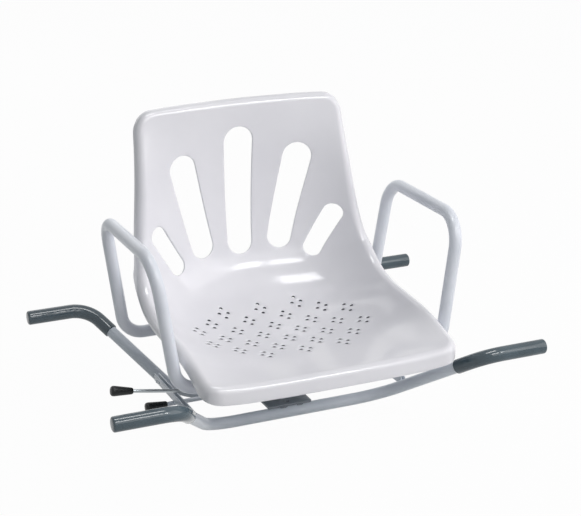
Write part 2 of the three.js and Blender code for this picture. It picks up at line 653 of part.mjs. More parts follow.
function smoothShare(shares, knot) {
  const low = Math.min(Math.floor(knot), knots - 1);
  const t = knot - low;
  const at = (i) => shares[THREE.MathUtils.clamp(i, 0, knots)];
  const [a, b, c, d] = [at(low - 1), at(low), at(low + 1), at(low + 2)];
  return b + 0.5 * t * (c - a + t * (2 * a - 5 * b + 4 * c - d + t * (3 * (b - c) + d - a)));
}

function shellPoint(x, along) {
  const t = profileCurve.getUtoTmapping(THREE.MathUtils.clamp(along / profileLength, 0, 1));
  const centre = profileCurve.getPoint(t);
  const tangent = profileCurve.getTangent(t);
  const knot = t * knots;
  const across = x / SHELL_HALF_WIDTH;
  const rise = SHELL_HALF_WIDTH * (smoothShare(dishRiseShares, knot) * across ** 2
    + smoothShare(rimRiseShares, knot) * across ** 4);
  return new THREE.Vector3(x * smoothShare(widthShares, knot), centre.x - tangent.y * rise,
    centre.y + tangent.x * rise);
}

function shellNormal(x, along) {
  const low = Math.max(along - SAMPLE_STEP, 0);
  const high = Math.min(along + SAMPLE_STEP, profileLength);
  const acrossStep = shellPoint(x + SAMPLE_STEP, along).sub(shellPoint(x - SAMPLE_STEP, along));
  const alongStep = shellPoint(x, high).sub(shellPoint(x, low));
  return acrossStep.cross(alongStep).normalize();
}

// Flat outline of the shell inside its lip, from the middle of each corner to the next
function cornerArc(centreX, centreY, radius, from, to, steps) {
  const points = [];
  for (let i = 0; i <= steps; i += 1) {
    const angle = THREE.MathUtils.lerp(from, to, i / steps);
    points.push(new THREE.Vector2(centreX + radius * Math.cos(angle), centreY + radius * Math.sin(angle)));
  }
  return points;
}

function outlineSide(startArc, endArc, segments) {
  const straight = segments - startArc.length - endArc.length + 2;
  const points = [...startArc];
  const [from, to] = [startArc[startArc.length - 1], endArc[0]];
  for (let i = 1; i < straight; i += 1) points.push(from.clone().lerp(to, i / straight));
  return [...points, ...endArc];
}

const innerHalf = SHELL_HALF_WIDTH - SHELL_LIP_RADIUS;
const frontCorner = SHELL_FRONT_CORNER_RADIUS - SHELL_LIP_RADIUS;
const topCorner = SHELL_TOP_CORNER_RADIUS - SHELL_LIP_RADIUS;
const quarter = Math.PI / 2;
const eighth = Math.PI / 4;
const frontX = innerHalf - frontCorner;
const topX = innerHalf - topCorner;
const topY = profileLength - topCorner;
const frontSide = outlineSide(
  cornerArc(-frontX, frontCorner, frontCorner, Math.PI + eighth, Math.PI + quarter, CORNER_STEPS),
  cornerArc(frontX, frontCorner, frontCorner, -quarter, -eighth, CORNER_STEPS), SHELL_COLUMNS);
const topSide = outlineSide(
  cornerArc(-topX, topY, topCorner, Math.PI - eighth, quarter, CORNER_STEPS),
  cornerArc(topX, topY, topCorner, quarter, eighth, CORNER_STEPS), SHELL_COLUMNS);
const rightSide = outlineSide(
  cornerArc(frontX, frontCorner, frontCorner, -eighth, 0, CORNER_STEPS),
  cornerArc(topX, topY, topCorner, 0, eighth, CORNER_STEPS), SHELL_ROWS);
const leftSide = rightSide.map((point) => new THREE.Vector2(-point.x, point.y));

function flatPoint(i, j) {
  const s = i / SHELL_COLUMNS;
  const t = j / SHELL_ROWS;
  const point = frontSide[i].clone().multiplyScalar(1 - t).addScaledVector(topSide[i], t);
  point.addScaledVector(leftSide[j], 1 - s).addScaledVector(rightSide[j], s);
  point.addScaledVector(frontSide[0], -(1 - s) * (1 - t)).addScaledVector(topSide[0], -(1 - s) * t);
  point.addScaledVector(frontSide[SHELL_COLUMNS], -s * (1 - t));
  return point.addScaledVector(topSide[SHELL_COLUMNS], -s * t);
}

function skirtDepth(along) {
  const share = THREE.MathUtils.clamp(along / profileLength, 0, 1);
  return FRONT_SKIRT_DEPTH * smoothShare(skirtShares, profileCurve.getUtoTmapping(share) * knots);
}

function shellSolid() {
  const positions = [];
  const index = [];
  const add = (point) => positions.push(point.x, point.y, point.z) / 3 - 1;
  const quad = (a, b, c, d) => index.push(a, b, c, a, c, d);
  const seatFace = [];
  const underFace = [];
  const frames = [];
  for (let j = 0; j <= SHELL_ROWS; j += 1) {
    for (let i = 0; i <= SHELL_COLUMNS; i += 1) {
      const flat = flatPoint(i, j);
      const point = shellPoint(flat.x, flat.y);
      const normal = shellNormal(flat.x, flat.y);
      frames.push({ point, normal, along: flat.y });
      seatFace.push(add(point));
      underFace.push(add(point.clone().addScaledVector(normal, -SHELL_WALL)));
    }
  }
  const at = (i, j) => j * (SHELL_COLUMNS + 1) + i;
  for (let j = 0; j < SHELL_ROWS; j += 1) {
    for (let i = 0; i < SHELL_COLUMNS; i += 1) {
      const corners = [at(i, j), at(i + 1, j), at(i + 1, j + 1), at(i, j + 1)];
      quad(...corners.map((corner) => seatFace[corner]));
      quad(...corners.reverse().map((corner) => underFace[corner]));
    }
  }
  const loop = [];
  for (let i = 0; i < SHELL_COLUMNS; i += 1) loop.push(at(i, 0));
  for (let j = 0; j < SHELL_ROWS; j += 1) loop.push(at(SHELL_COLUMNS, j));
  for (let i = SHELL_COLUMNS; i > 0; i -= 1) loop.push(at(i, SHELL_ROWS));
  for (let j = SHELL_ROWS; j > 0; j -= 1) loop.push(at(0, j));
  const rings = loop.map((corner, place) => {
    const { point, normal, along } = frames[corner];
    const depth = skirtDepth(along);
    const next = frames[loop[(place + 1) % loop.length]].point;
    const before = frames[loop[(place + loop.length - 1) % loop.length]].point;
    const outward = next.clone().sub(before).cross(normal).normalize();
    const level = new THREE.Vector3(0, normal.y, normal.z).normalize();
    const turn = Math.acos(THREE.MathUtils.clamp(-level.dot(outward), -1, 1)) - SHELL_SKIRT_DRAFT;
    const hub = point.clone().addScaledVector(normal, -SHELL_LIP_RADIUS);
    const arm = (radius, angle) => hub.clone().addScaledVector(outward, radius * Math.sin(angle))
      .addScaledVector(normal, radius * Math.cos(angle));
    const fall = outward.clone().multiplyScalar(Math.cos(turn)).addScaledVector(normal, -Math.sin(turn));
    const ring = [seatFace[corner]];
    for (let k = 1; k <= LIP_STEPS; k += 1) ring.push(add(arm(SHELL_LIP_RADIUS, (turn * k) / LIP_STEPS)));
    ring.push(add(arm(SHELL_LIP_RADIUS, turn).addScaledVector(fall, depth)));
    const inner = SHELL_LIP_RADIUS - SHELL_WALL;
    ring.push(add(arm(inner, turn).addScaledVector(fall, depth)));
    for (let k = LIP_STEPS; k >= 1; k -= 1) ring.push(add(arm(inner, (turn * k) / LIP_STEPS)));
    ring.push(underFace[corner]);
    return ring;
  });
  rings.forEach((ring, place) => {
    const next = rings[(place + 1) % rings.length];
    for (let k = 0; k < ring.length - 1; k += 1) quad(ring[k], ring[k + 1], next[k + 1], next[k]);
  });
  const geometry = new THREE.BufferGeometry();
  geometry.setAttribute('position', new THREE.Float32BufferAttribute(positions, 3));
  geometry.setIndex(index);
  return geometry;
}

// A slot is the outline round two circles, cut straight through the back
function slotTool(slot, side) {
  const [upperX, lowerX] = [side * slot.topX, side * slot.footX];
  const lean = Math.atan2(upperX - lowerX, slot.topZ - slot.footZ);
  const points = [];
  const arc = (x, z, radius, start) => {
    for (let i = 0; i <= SLOT_SIDES; i += 1) {
      const angle = start + (Math.PI * i) / SLOT_SIDES - lean;
      points.push(new THREE.Vector2(x + radius * Math.cos(angle), z + radius * Math.sin(angle)));
    }
  };
  arc(upperX, slot.topZ, slot.topRadius, 0);
  arc(lowerX, slot.footZ, slot.footRadius, Math.PI);
  const depth = SEAT_REAR_Y;
  const tool = new THREE.ExtrudeGeometry(new THREE.Shape(points), { depth, bevelEnabled: false });
  tool.rotateX(Math.PI / 2);
  tool.translate(0, SEAT_REAR_Y + depth / 2, 0);
  return tool;
}

function drainTools() {
  const tools = [];
  DRAIN_ROW_COUNTS.forEach((count, row) => {
    const rowY = DRAIN_FIRST_ROW_Y - row * DRAIN_ROW_PITCH;
    for (let i = 0; i < count; i += 1) {
      const x = (i - (count - 1) / 2) * DRAIN_COLUMN_PITCH;
      for (const [dx, dy] of [[-1, 0], [1, 0], [0, -1], [0, 1]]) {
        tools.push(uprightRod(x + dx * DRAIN_SPREAD_X, rowY + dy * DRAIN_SPREAD_Y, ARM_FOOT_HEIGHT,
          DRAIN_CUT_TOP, DRAIN_HOLE_RADIUS, DRAIN_HOLE_SIDES));
      }
    }
  });
  return tools;
}

// Height of the seat's top face above a place on the pan, found by halving the way along
function seatHeight(x, y) {
  let [low, high] = [0, profileLength / 2];
  for (let i = 0; i < HALVINGS; i += 1) {
    const middle = (low + high) / 2;
    if (shellPoint(x, middle).y < y) low = middle;
    else high = middle;
  }
  return shellPoint(x, low).z;
}

// Bosses under the seat stand on the top plate and take the seat screws
function shellWithFeatures() {
  const bossFoot = topPlateTop + SEAT_GAP;
  const bosses = bossPlaces.map(([x, y]) => (
    uprightRod(x, y, bossFoot, seatHeight(x, y) - SHELL_WALL / 2, BOSS_RADIUS, SMALL_ROUND_SIDES)));
  const bores = bossPlaces.map(([x, y]) => (
    uprightRod(x, y, bossFoot - OVERRUN, topPlateTop + BOSS_SCREW_BITE + OVERRUN, SCREW_RADIUS + HOLE_GAP,
      SCREW_SIDES)));
  const slots = [slotTool(MIDDLE_SLOT, 1)];
  for (const side of [-1, 1]) slots.push(slotTool(INNER_SLOT, side), slotTool(OUTER_SLOT, side));
  return cut(join(shellSolid(), ...bosses), ...bores, ...slots, ...drainTools());
}

addPart(seatSwivel, 'seat_shell', shellWithFeatures(), seatPlastic());

// Lock lever rod, tilted up towards its knob, with an eye round the pivot pin
function rodHeight(x) {
  return LOCK_PIVOT_HEIGHT + LOCK_ROD_TILT * (LOCK_PIVOT_X - x);
}

const tiltAngle = Math.atan(LOCK_ROD_TILT);

// Lock lever bracket: two cheeks on the plate's tab with the pivot pin through them, and a lip
// on its foot that the rod rests on
const cheekGap = LOCK_ROD_RADIUS + 2 * SEAT_GAP;
const bracketFoot = plateTop + SEAT_GAP;
const bracketTop = LOCK_PIVOT_HEIGHT + BRACKET_TOP_MARGIN;
const bracketLow = LOCK_PIVOT_X - BRACKET_HALF_LENGTH;
const bracketHigh = LOCK_PIVOT_X + BRACKET_HALF_LENGTH;
const cheekOuter = cheekGap + BRACKET_WALL;
const footLow = bracketLow - BRACKET_FOOT;
const lipHigh = footLow + BRACKET_LIP;
const lipTop = rodHeight(lipHigh) - LOCK_ROD_RADIUS / Math.cos(tiltAngle) - SEAT_GAP;
const bracketBase = block(footLow, bracketHigh, LOCK_LEVER_Y - cheekOuter, LOCK_LEVER_Y + cheekOuter,
  bracketFoot, bracketFoot + BRACKET_WALL);
const bracketLip = block(footLow, lipHigh, LOCK_LEVER_Y - cheekOuter, LOCK_LEVER_Y + cheekOuter,
  bracketFoot, lipTop);
const cheeks = [-1, 1].map((side) => {
  const [a, b] = [LOCK_LEVER_Y + side * cheekGap, LOCK_LEVER_Y + side * cheekOuter];
  return block(bracketLow, bracketHigh, Math.min(a, b), Math.max(a, b), bracketFoot, bracketTop);
});
const bracketBore = rodAlongY(LOCK_PIVOT_X, LOCK_PIVOT_HEIGHT, LOCK_LEVER_Y - cheekOuter - OVERRUN,
  LOCK_LEVER_Y + cheekOuter + OVERRUN, PIVOT_PIN_RADIUS + SEAT_GAP);
addPart(baseFrame, 'lock_lever_bracket', cut(join(bracketBase, bracketLip, ...cheeks), bracketBore),
  frameCoat());
addPart(baseFrame, 'lock_lever_pivot_pin', rodAlongY(LOCK_PIVOT_X, LOCK_PIVOT_HEIGHT,
  LOCK_LEVER_Y - cheekOuter - PIVOT_PIN_OVERHANG, LOCK_LEVER_Y + cheekOuter + PIVOT_PIN_OVERHANG,
  PIVOT_PIN_RADIUS), brightSteel());

function alongRod(geometry) {
  geometry.rotateZ(Math.PI / 2);
  geometry.rotateY(tiltAngle);
  return geometry;
}

function rodPiece(startX, endX, startRadius, endRadius, sides) {
  const length = (startX - endX) / Math.cos(tiltAngle);
  const piece = alongRod(new THREE.CylinderGeometry(endRadius, startRadius, length, sides));
  piece.translate((startX + endX) / 2, LOCK_LEVER_Y, rodHeight((startX + endX) / 2));
  return piece;
}

const leverEye = rodAlongY(LOCK_PIVOT_X, LOCK_PIVOT_HEIGHT, LOCK_LEVER_Y - LOCK_ROD_RADIUS,
  LOCK_LEVER_Y + LOCK_ROD_RADIUS, LOCK_EYE_RADIUS);
const leverBore = rodAlongY(LOCK_PIVOT_X, LOCK_PIVOT_HEIGHT, LOCK_LEVER_Y - LOCK_ROD_RADIUS - OVERRUN,
  LOCK_LEVER_Y + LOCK_ROD_RADIUS + OVERRUN, PIVOT_PIN_RADIUS + RUNNING_GAP);
const rodTipX = LOCK_ROD_END_X - KNOB_LENGTH / 2;
const leverRod = rodPiece(LOCK_PIVOT_X, rodTipX, LOCK_ROD_RADIUS, LOCK_ROD_RADIUS, SMALL_ROUND_SIDES);
addPart(lockLever, 'lock_lever_rod', cut(join(leverRod, leverEye), leverBore), brightSteel());

// Each knob is thickest near its rounded outer end: shares of its radius and of its length
const knobShares = [[0.55, 0], [0.65, 0.045], [1, 0.864], [0.8, 0.966], [0, 1]];
const knobProfile = knobShares.map(([radiusShare, lengthShare]) => (
  new THREE.Vector2(radiusShare * KNOB_RADIUS, lengthShare * KNOB_LENGTH)));

// The rod enters its knob half way
function boredKnob(boreRadius, boreDepth) {
  const bore = [[0, boreDepth], [boreRadius, boreDepth], [boreRadius, 0]];
  const profile = [...knobProfile, ...bore.map(([r, z]) => new THREE.Vector2(r, z)), knobProfile[0]];
  return new THREE.LatheGeometry(profile, SMALL_ROUND_SIDES);
}

const knobBoreDepth = (LOCK_ROD_END_X - rodTipX) / Math.cos(tiltAngle);
const lockKnob = alongRod(boredKnob(LOCK_ROD_RADIUS + SEAT_GAP, knobBoreDepth + SEAT_GAP));
lockKnob.translate(LOCK_ROD_END_X, LOCK_LEVER_Y, rodHeight(LOCK_ROD_END_X));
addPart(lockLever, 'lock_lever_knob', lockKnob, knobPlastic());

// Lock pin: stands on the rod below the index plate and rises into a hole as the lever is lifted
const pinFoot = rodHeight(LOCK_PIN_X);
const pinTop = INDEX_PLATE_HEIGHT - LOCK_PIN_GAP;
const pinCollar = turned([
  [0, pinFoot],
  [LOCK_PIN_RADIUS, pinFoot],
  [LOCK_PIN_RADIUS, pinTop - LOCK_PIN_TIP_LENGTH],
  [LOCK_PIN_RADIUS * LOCK_PIN_TIP_SHARE, pinTop],
  [0, pinTop],
], LOCK_PIN_X, LOCK_LEVER_Y, SMALL_ROUND_SIDES);
const rodClearance = rodPiece(LOCK_PIN_X + KNOB_LENGTH, LOCK_PIN_X - KNOB_LENGTH,
  LOCK_ROD_RADIUS + SEAT_GAP, LOCK_ROD_RADIUS + SEAT_GAP, SMALL_ROUND_SIDES);
addPart(lockLever, 'lock_pin', cut(pinCollar, rodClearance), brightSteel());

// Brake lever: its cam head is off centre, so its far side nears the sleeve as the lever swings
const barUnderside = plateTop + 2 * SEAT_GAP;
const barTop = barUnderside + BRAKE_BAR_THICKNESS;
const camTop = barUnderside + BRAKE_CAM_THICKNESS;
const camAngle = THREE.MathUtils.degToRad(BRAKE_CAM_DEGREES);
const camHead = uprightRod(BRAKE_PIVOT_X + BRAKE_CAM_OFFSET * Math.cos(camAngle),
  BRAKE_PIVOT_Y + BRAKE_CAM_OFFSET * Math.sin(camAngle), barUnderside, camTop, BRAKE_CAM_RADIUS);
const brakeTipX = BRAKE_BAR_END_X - KNOB_LENGTH / 2;
const brakeBar = block(brakeTipX, BRAKE_PIVOT_X, BRAKE_PIVOT_Y - BRAKE_BAR_WIDTH / 2,
  BRAKE_PIVOT_Y + BRAKE_BAR_WIDTH / 2, barUnderside, barTop);
const brakeBore = uprightRod(BRAKE_PIVOT_X, BRAKE_PIVOT_Y, barUnderside - OVERRUN, camTop + OVERRUN,
  BRAKE_BOLT_RADIUS + RUNNING_GAP, SMALL_ROUND_SIDES);
addPart(brakeLever, 'brake_lever_bar', cut(join(camHead, brakeBar), brakeBore), frameCoat());

const brakeGrip = new THREE.LatheGeometry([new THREE.Vector2(0, 0), ...knobProfile], SMALL_ROUND_SIDES);
brakeGrip.rotateZ(Math.PI / 2);
brakeGrip.translate(BRAKE_BAR_END_X, BRAKE_PIVOT_Y, (barUnderside + barTop) / 2);
const brakeGripBore = block(brakeTipX - SEAT_GAP, BRAKE_BAR_END_X + OVERRUN,
  BRAKE_PIVOT_Y - BRAKE_BAR_WIDTH / 2 - SEAT_GAP, BRAKE_PIVOT_Y + BRAKE_BAR_WIDTH / 2 + SEAT_GAP,
  barUnderside - SEAT_GAP, barTop + SEAT_GAP);
addPart(brakeLever, 'brake_lever_knob', cut(brakeGrip, brakeGripBore), knobPlastic());

const brakeBoltHead = camTop + SEAT_GAP;
addPart(baseFrame, 'brake_pivot_bolt', screw(BRAKE_PIVOT_X, BRAKE_PIVOT_Y, brakeBoltHead, 1,
  brakeBoltHead - plateUnderside + OVERRUN, BRAKE_BOLT_RADIUS, BRAKE_HEAD_RADIUS, BRAKE_HEAD_HEIGHT,
  SMALL_ROUND_SIDES), brightSteel());

export default group;
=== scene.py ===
"""Looks of the swivelling bath seat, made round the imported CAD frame.

Lengths are in millimetres until a mesh is made, and the origin is on the ground below the swivel axis.
"""

import math

import bpy
import numpy as np
from mathutils import Matrix, Vector
from mathutils.geometry import delaunay_2d_cdt


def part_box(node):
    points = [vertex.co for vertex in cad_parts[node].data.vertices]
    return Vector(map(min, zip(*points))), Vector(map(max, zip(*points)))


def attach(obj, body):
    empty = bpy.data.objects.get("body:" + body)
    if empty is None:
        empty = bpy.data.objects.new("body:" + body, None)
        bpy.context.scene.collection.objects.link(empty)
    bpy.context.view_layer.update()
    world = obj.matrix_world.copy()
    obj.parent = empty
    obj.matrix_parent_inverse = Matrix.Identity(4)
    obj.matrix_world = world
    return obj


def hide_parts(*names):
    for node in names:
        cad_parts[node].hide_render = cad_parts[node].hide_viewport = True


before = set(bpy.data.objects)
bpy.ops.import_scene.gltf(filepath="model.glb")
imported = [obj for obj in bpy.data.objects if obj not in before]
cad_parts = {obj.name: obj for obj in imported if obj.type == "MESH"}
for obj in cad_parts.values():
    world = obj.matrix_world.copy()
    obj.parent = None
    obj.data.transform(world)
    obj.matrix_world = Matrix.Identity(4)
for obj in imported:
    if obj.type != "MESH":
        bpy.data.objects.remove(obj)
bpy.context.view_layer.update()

MM = 0.001

# Driving dimensions, the same as the CAD source's
SPAN_HALF = 368
RIM_ROW_HALF = 244.7
RIM_HEIGHT = 126
RIM_BEND_X = 260.7
BASE_TUBE_RADIUS = 10
LOWER_BEND_X = 154
LOWER_RUN_Y = 67.1
UPPER_BEND_RADIUS = 52
LOWER_BEND_RADIUS = 80
GRIP_RADIUS = 12.2
GRIP_END_WALL = 2.6
GRIP_SLANT_SHARE = 0.26
ARM_TUBE_RADIUS = 10.4
ARM_TUBE_WALL = 1.5
ARM_FOOT = {"x": 230.5, "z": 116.2, "front": -144, "rear": 124.1, "radius": 39}
ARM_TOP = {"x": 261.3, "z": 330.6, "front": -145.2, "rear": 106.4, "front_radius": 52, "rear_radius": 48}
ARM_INNER_END_X = 42
SEAT_FRONT_Y = -242
SEAT_REAR_Y = 173
SEAT_TOP_HEIGHT = 132.5
BACK_TOP_HEIGHT = 490
SHELL_HALF_WIDTH = 216
SHELL_WALL = 4
SHELL_LIP_RADIUS = 12
FRONT_SKIRT_DEPTH = 17
FRONT_CORNER_RADIUS = 29
TOP_CORNER_RADIUS = 34
SKIRT_DRAFT = 0.05
SEAT_GAP = 0.3

ROWS, SIDES = (("front", -1), ("rear", 1)), (("left", -1), ("right", 1))

# Fineness of the meshes
TUBE_SIDES = 40
TURNED_STEPS = 3
BEND_STEPS = 20
RUN_STEP = 25.0
BEAD_STEP = 1.3
SHELL_STEP = 6.5
EDGE_STEP = 5.0

# Angles in degrees above which a kind of piece keeps its edges sharp
SCREW_EDGE, PLATE_EDGE, TURNED_EDGE, ARM_EDGE, ROUND_EDGE, SHELL_EDGE, GRIP_EDGE = 30, 35, 40, 50, 60, 62, 75

# Surfaces
DRIFT_FROM, DRIFT_TO = 0.3, 0.7
DRIFT_DETAIL, GLOSS_DETAIL, GRAIN_DETAIL = 3, 4, 2
GLOSS_FINENESS = 6
LEAST_ROUGHNESS = 0.02
GRAIN_HEIGHT_M = 0.0004


def tone(red, green, blue):
    """A colour as seen, from 0 to 255, made linear."""
    def linear(value):
        share = value / 255
        return share / 12.92 if share <= 0.04045 else ((share + 0.055) / 1.055) ** 2.4

    return (linear(red), linear(green), linear(blue), 1.0)


def add(nodes, kind, **inputs):
    """A new node with some inputs set, in whose names a low line stands for a space."""
    made = nodes.new(f"ShaderNode{kind}")
    for name, value in inputs.items():
        made.inputs[name.replace("_", " ")].default_value = value
    return made


def surface(name, slot, light, dark, roughness, metallic=0.0, mottle=14.0, grain=900.0, grain_depth=0.04,
            rough_swing=0.06, specular=0.5):
    """A material and its slot: a slow drift of tone, a change of gloss and a fine grain."""
    made = bpy.data.materials.new(name)
    made.use_nodes = True
    nodes, links = made.node_tree.nodes, made.node_tree.links
    shader = nodes["Principled BSDF"]
    shader.inputs["Metallic"].default_value = metallic
    shader.inputs["Specular IOR Level"].default_value = specular
    place = add(nodes, "TexCoord")

    def noise(size, detail):
        node = add(nodes, "TexNoise", Scale=size, Detail=detail)
        links.new(place.outputs["Object"], node.inputs["Vector"])
        return node.outputs["Fac"]

    ramp = add(nodes, "ValToRGB")
    for stop, position, colour in zip(ramp.color_ramp.elements, (DRIFT_FROM, DRIFT_TO), (dark, light)):
        stop.position, stop.color = position, colour
    links.new(noise(mottle, DRIFT_DETAIL), ramp.inputs["Fac"])
    links.new(ramp.outputs["Color"], shader.inputs["Base Color"])
    least = max(roughness - rough_swing, LEAST_ROUGHNESS)
    swing = add(nodes, "MapRange", To_Min=least, To_Max=roughness + rough_swing)
    links.new(noise(mottle * GLOSS_FINENESS, GLOSS_DETAIL), swing.inputs["Value"])
    links.new(swing.outputs["Result"], shader.inputs["Roughness"])
    bump = add(nodes, "Bump", Strength=grain_depth, Distance=GRAIN_HEIGHT_M)
    links.new(noise(grain, GRAIN_DETAIL), bump.inputs["Height"])
    links.new(bump.outputs["Normal"], shader.inputs["Normal"])
    return made, slot


SHELL = surface("moulded_seat", "seat_plastic", tone(243, 242, 246), tone(236, 235, 240), 0.13, mottle=7,
                grain=260, grain_depth=0.03, rough_swing=0.03)
# Painted shade: a dark tone on the drain holes' walls, standing in for the shade inside the holes.
DRAIN_PAINTED_SHADE = surface("drain_hole_painted_shade", "seat_plastic", tone(112, 112, 116), tone(92, 92, 97), 0.6,
                     mottle=90, specular=0.2)
ARM_COAT = surface("arm_powder_coat", "arm_coat", tone(236, 239, 246), tone(228, 232, 240), 0.3, mottle=20,
                   grain=1400, grain_depth=0.12)
FRAME_COAT = surface("frame_powder_coat", "frame_coat", tone(228, 234, 241), tone(218, 225, 233), 0.33,
                     mottle=18, grain=1300, grain_depth=0.08, specular=0.35)
# The frame coat darkened for the centre plate: painted shade for the seat's shadow on it.
PLATE_PAINTED_SHADE = surface("plate_coat_painted_shade", "frame_coat", tone(146, 152, 158), tone(136, 142, 149), 0.36,
                     mottle=18, grain=1300, grain_depth=0.08, specular=0.3)
GRIP_VINYL = surface("grip_vinyl", "grip_vinyl", tone(80, 97, 107), tone(62, 78, 86), 0.11, mottle=16,
                     grain=700, grain_depth=0.01, rough_swing=0.03)
KNOB_PLASTIC = surface("knob_plastic", "knob_plastic", tone(26, 30, 31), tone(16, 19, 20), 0.36, mottle=40,
                       grain=1500, grain_depth=0.15, specular=0.3)
BRIGHT_STEEL = surface("bright_steel", "bright_steel", tone(176, 181, 184), tone(158, 164, 167), 0.3,
                       metallic=1.0, grain=1500, grain_depth=0.05, rough_swing=0.04)
NYLON = surface("bush_nylon", "bush_nylon", tone(230, 227, 215), tone(220, 217, 204), 0.5, mottle=30,
                grain_depth=0.1)
# A dark steel, used for the post's screws under the seat.
DARK_STEEL = surface("dark_post_bolt", "bright_steel", tone(70, 74, 78), tone(52, 56, 60), 0.38,
                     metallic=0.8, mottle=60, grain=1500, grain_depth=0.1)


# Mesh making. A shape is its points in millimetres and its faces.
ON_AXIS = 1e-6
CORNER_ROOM_SHARE = 0.45
END_ROOM = 0.2
STEEPEST_CORNER = 0.5
MERGE_BELOW = 1e-5
BEAD_SIDES = 8
BEAD_RIPPLES = ((0.12, 2.1), (0.06, 0.7))
BEAD_END_SHARE, BEAD_RISE_SHARE = 0.45, 0.3
BEAD_SIDEWAYS = [0.3, 0.2, 0.93]


def piece(name, shape, look, body, node, sharp_above):
    """A new piece riding on a CAD body in place of one of its nodes."""
    points, faces = shape
    material, slot = look
    mesh = bpy.data.meshes.new(name)
    mesh.from_pydata([tuple(float(v) * MM for v in p) for p in points], [], [tuple(f) for f in faces])
    mesh.update()
    mesh.polygons.foreach_set("use_smooth", [True] * len(mesh.polygons))
    mesh.set_sharp_from_angle(angle=math.radians(sharp_above))
    mesh.materials.append(material)
    made = bpy.data.objects.new(name, mesh)
    bpy.context.scene.collection.objects.link(made)
    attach(made, body)
    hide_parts(node)
    return made


def moved(shape, place):
    points, faces = shape
    return [tuple(place @ Vector(p)) for p in points], faces


def joined(*shapes):
    points, faces = [], []
    for more_points, more_faces in shapes:
        first = len(points)
        points.extend(more_points)
        faces.extend([[i + first for i in face] for face in more_faces])
    return points, faces


def heights(node):
    low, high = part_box(node)
    return low[2] / MM, high[2] / MM


def circle(x, y, radius, count=32):
    return [(x + radius * math.cos(2 * math.pi * i / count), y + radius * math.sin(2 * math.pi * i / count))
            for i in range(count)]


def rectangle(x0, y0, x1, y1):
    return [(x0, y0), (x1, y0), (x1, y1), (x0, y1)]


def rounded(corners, radius, steps=6, closed=True):
    """A run of flat corners, each rounded off. An open run keeps its two ends."""
    made = [] if closed else [corners[0]]
    run = [corners[-1]] + list(corners) + [corners[0]] if closed else corners
    for before, corner, after in zip(run, run[1:], run[2:]):
        a, c, b = [np.array(p, float) for p in (before, corner, after)]
        into, out = np.linalg.norm(a - c), np.linalg.norm(b - c)
        reach = min(radius, into * CORNER_ROOM_SHARE, out * CORNER_ROOM_SHARE)
        start, end = c + (a - c) / into * reach, c + (b - c) / out * reach
        shares = [k / steps for k in range(steps + 1)]
        made.extend([tuple((1 - t) ** 2 * start + 2 * t * (1 - t) * c + t ** 2 * end) for t in shares])
    return made if closed else made + [corners[-1]]


def ring_strip(rings, count, closed=False):
    """Faces between rings of points. The last ring meets the first one, or else both ends are capped."""
    faces, total = [], rings * count
    for k in range(rings if closed else rings - 1):
        for i in range(count):
            a, b = k * count + i, k * count + (i + 1) % count
            faces.append([a, b, (b + count) % total, (a + count) % total])
    if not closed:
        faces += [list(range(count))[::-1], list(range(total - count, total))]
    return faces


def lathe(profile, sides=TUBE_SIDES, ring=False):
    """A body turned about Z from (radius, height) pairs, or a ring from a closed loop of them."""
    points, faces, starts = [], [], []
    on_axis = [radius < ON_AXIS for radius, _ in profile]
    for (radius, height), tip in zip(profile, on_axis):
        starts.append(len(points))
        points.extend([(x, y, height) for x, y in ([(0, 0)] if tip else circle(0, 0, radius, sides))])
    for k in range(0 if ring else 1, len(profile)):
        a, b = starts[k - 1], starts[k]
        if on_axis[k - 1] and on_axis[k]:
            continue
        for i in range(sides):
            j = (i + 1) % sides
            if on_axis[k - 1]:
                faces.append([a, b + j, b + i])
            elif on_axis[k]:
                faces.append([a + i, a + j, b])
            else:
                faces.append([a + i, a + j, b + j, b + i])
    return points, faces


def turned(corners, rounding, sides=TUBE_SIDES, ring=False):
    """A turned body with its corners rounded off."""
    return lathe(rounded(corners, rounding, TURNED_STEPS, ring), sides, ring)


def bent_path(corners, radii):
    """Stations (point, direction) along straight runs joined by round bends."""
    corners = [np.array(c, float) for c in corners]
    stations = []

    def unit(v):
        return v / np.linalg.norm(v)

    def run(a, b):
        direction = unit(b - a)
        count = max(1, int(np.linalg.norm(b - a) / RUN_STEP))
        for k in range(count):
            stations.append((a + (b - a) * k / count, direction))

    last = corners[0]
    for before, corner, after, radius in zip(corners, corners[1:], corners[2:], radii):
        into, out = unit(corner - before), unit(after - corner)
        turn = math.acos(np.clip(into @ out, -1, 1))
        start = corner - into * radius * math.tan(turn / 2)
        run(last, start)
        inward = unit(out - into * (into @ out))
        centre = start + inward * radius
        for k in range(BEND_STEPS):
            angle = turn * k / BEND_STEPS
            arm = into * math.sin(angle) - inward * math.cos(angle)
            stations.append((centre + arm * radius, into * math.cos(angle) + inward * math.sin(angle)))
        last = corner + out * radius * math.tan(turn / 2)
    run(last, corners[-1])
    stations.append((corners[-1], unit(corners[-1] - corners[-2])))
    return stations


def sweep(stations, radius, start_profile=(), end_profile=()):
    """A round tube along stations. The profiles are (distance from the end, radius) pairs."""
    first_reach = max([d for d, _ in start_profile], default=-1) + END_ROOM
    last_reach = max([d for d, _ in end_profile], default=-1) + END_ROOM
    (p0, t0), (p1, t1) = stations[0], stations[-1]
    rows = [(p0 + t0 * distance, t0, r) for distance, r in start_profile]
    for point, direction in stations:
        if np.linalg.norm(point - p0) > first_reach and np.linalg.norm(point - p1) > last_reach:
            rows.append((point, direction, radius))
    rows += [(p1 - t1 * distance, t1, r) for distance, r in end_profile]
    side = np.cross(rows[0][1], [0.0, 0.0, 1.0])
    points = []
    for point, direction, r in rows:
        side = side - direction * (side @ direction)
        side /= np.linalg.norm(side)
        up = np.cross(direction, side)
        points.extend([point + side * x + up * y for x, y in circle(0, 0, r, TUBE_SIDES)])
    return points, ring_strip(len(rows), TUBE_SIDES)


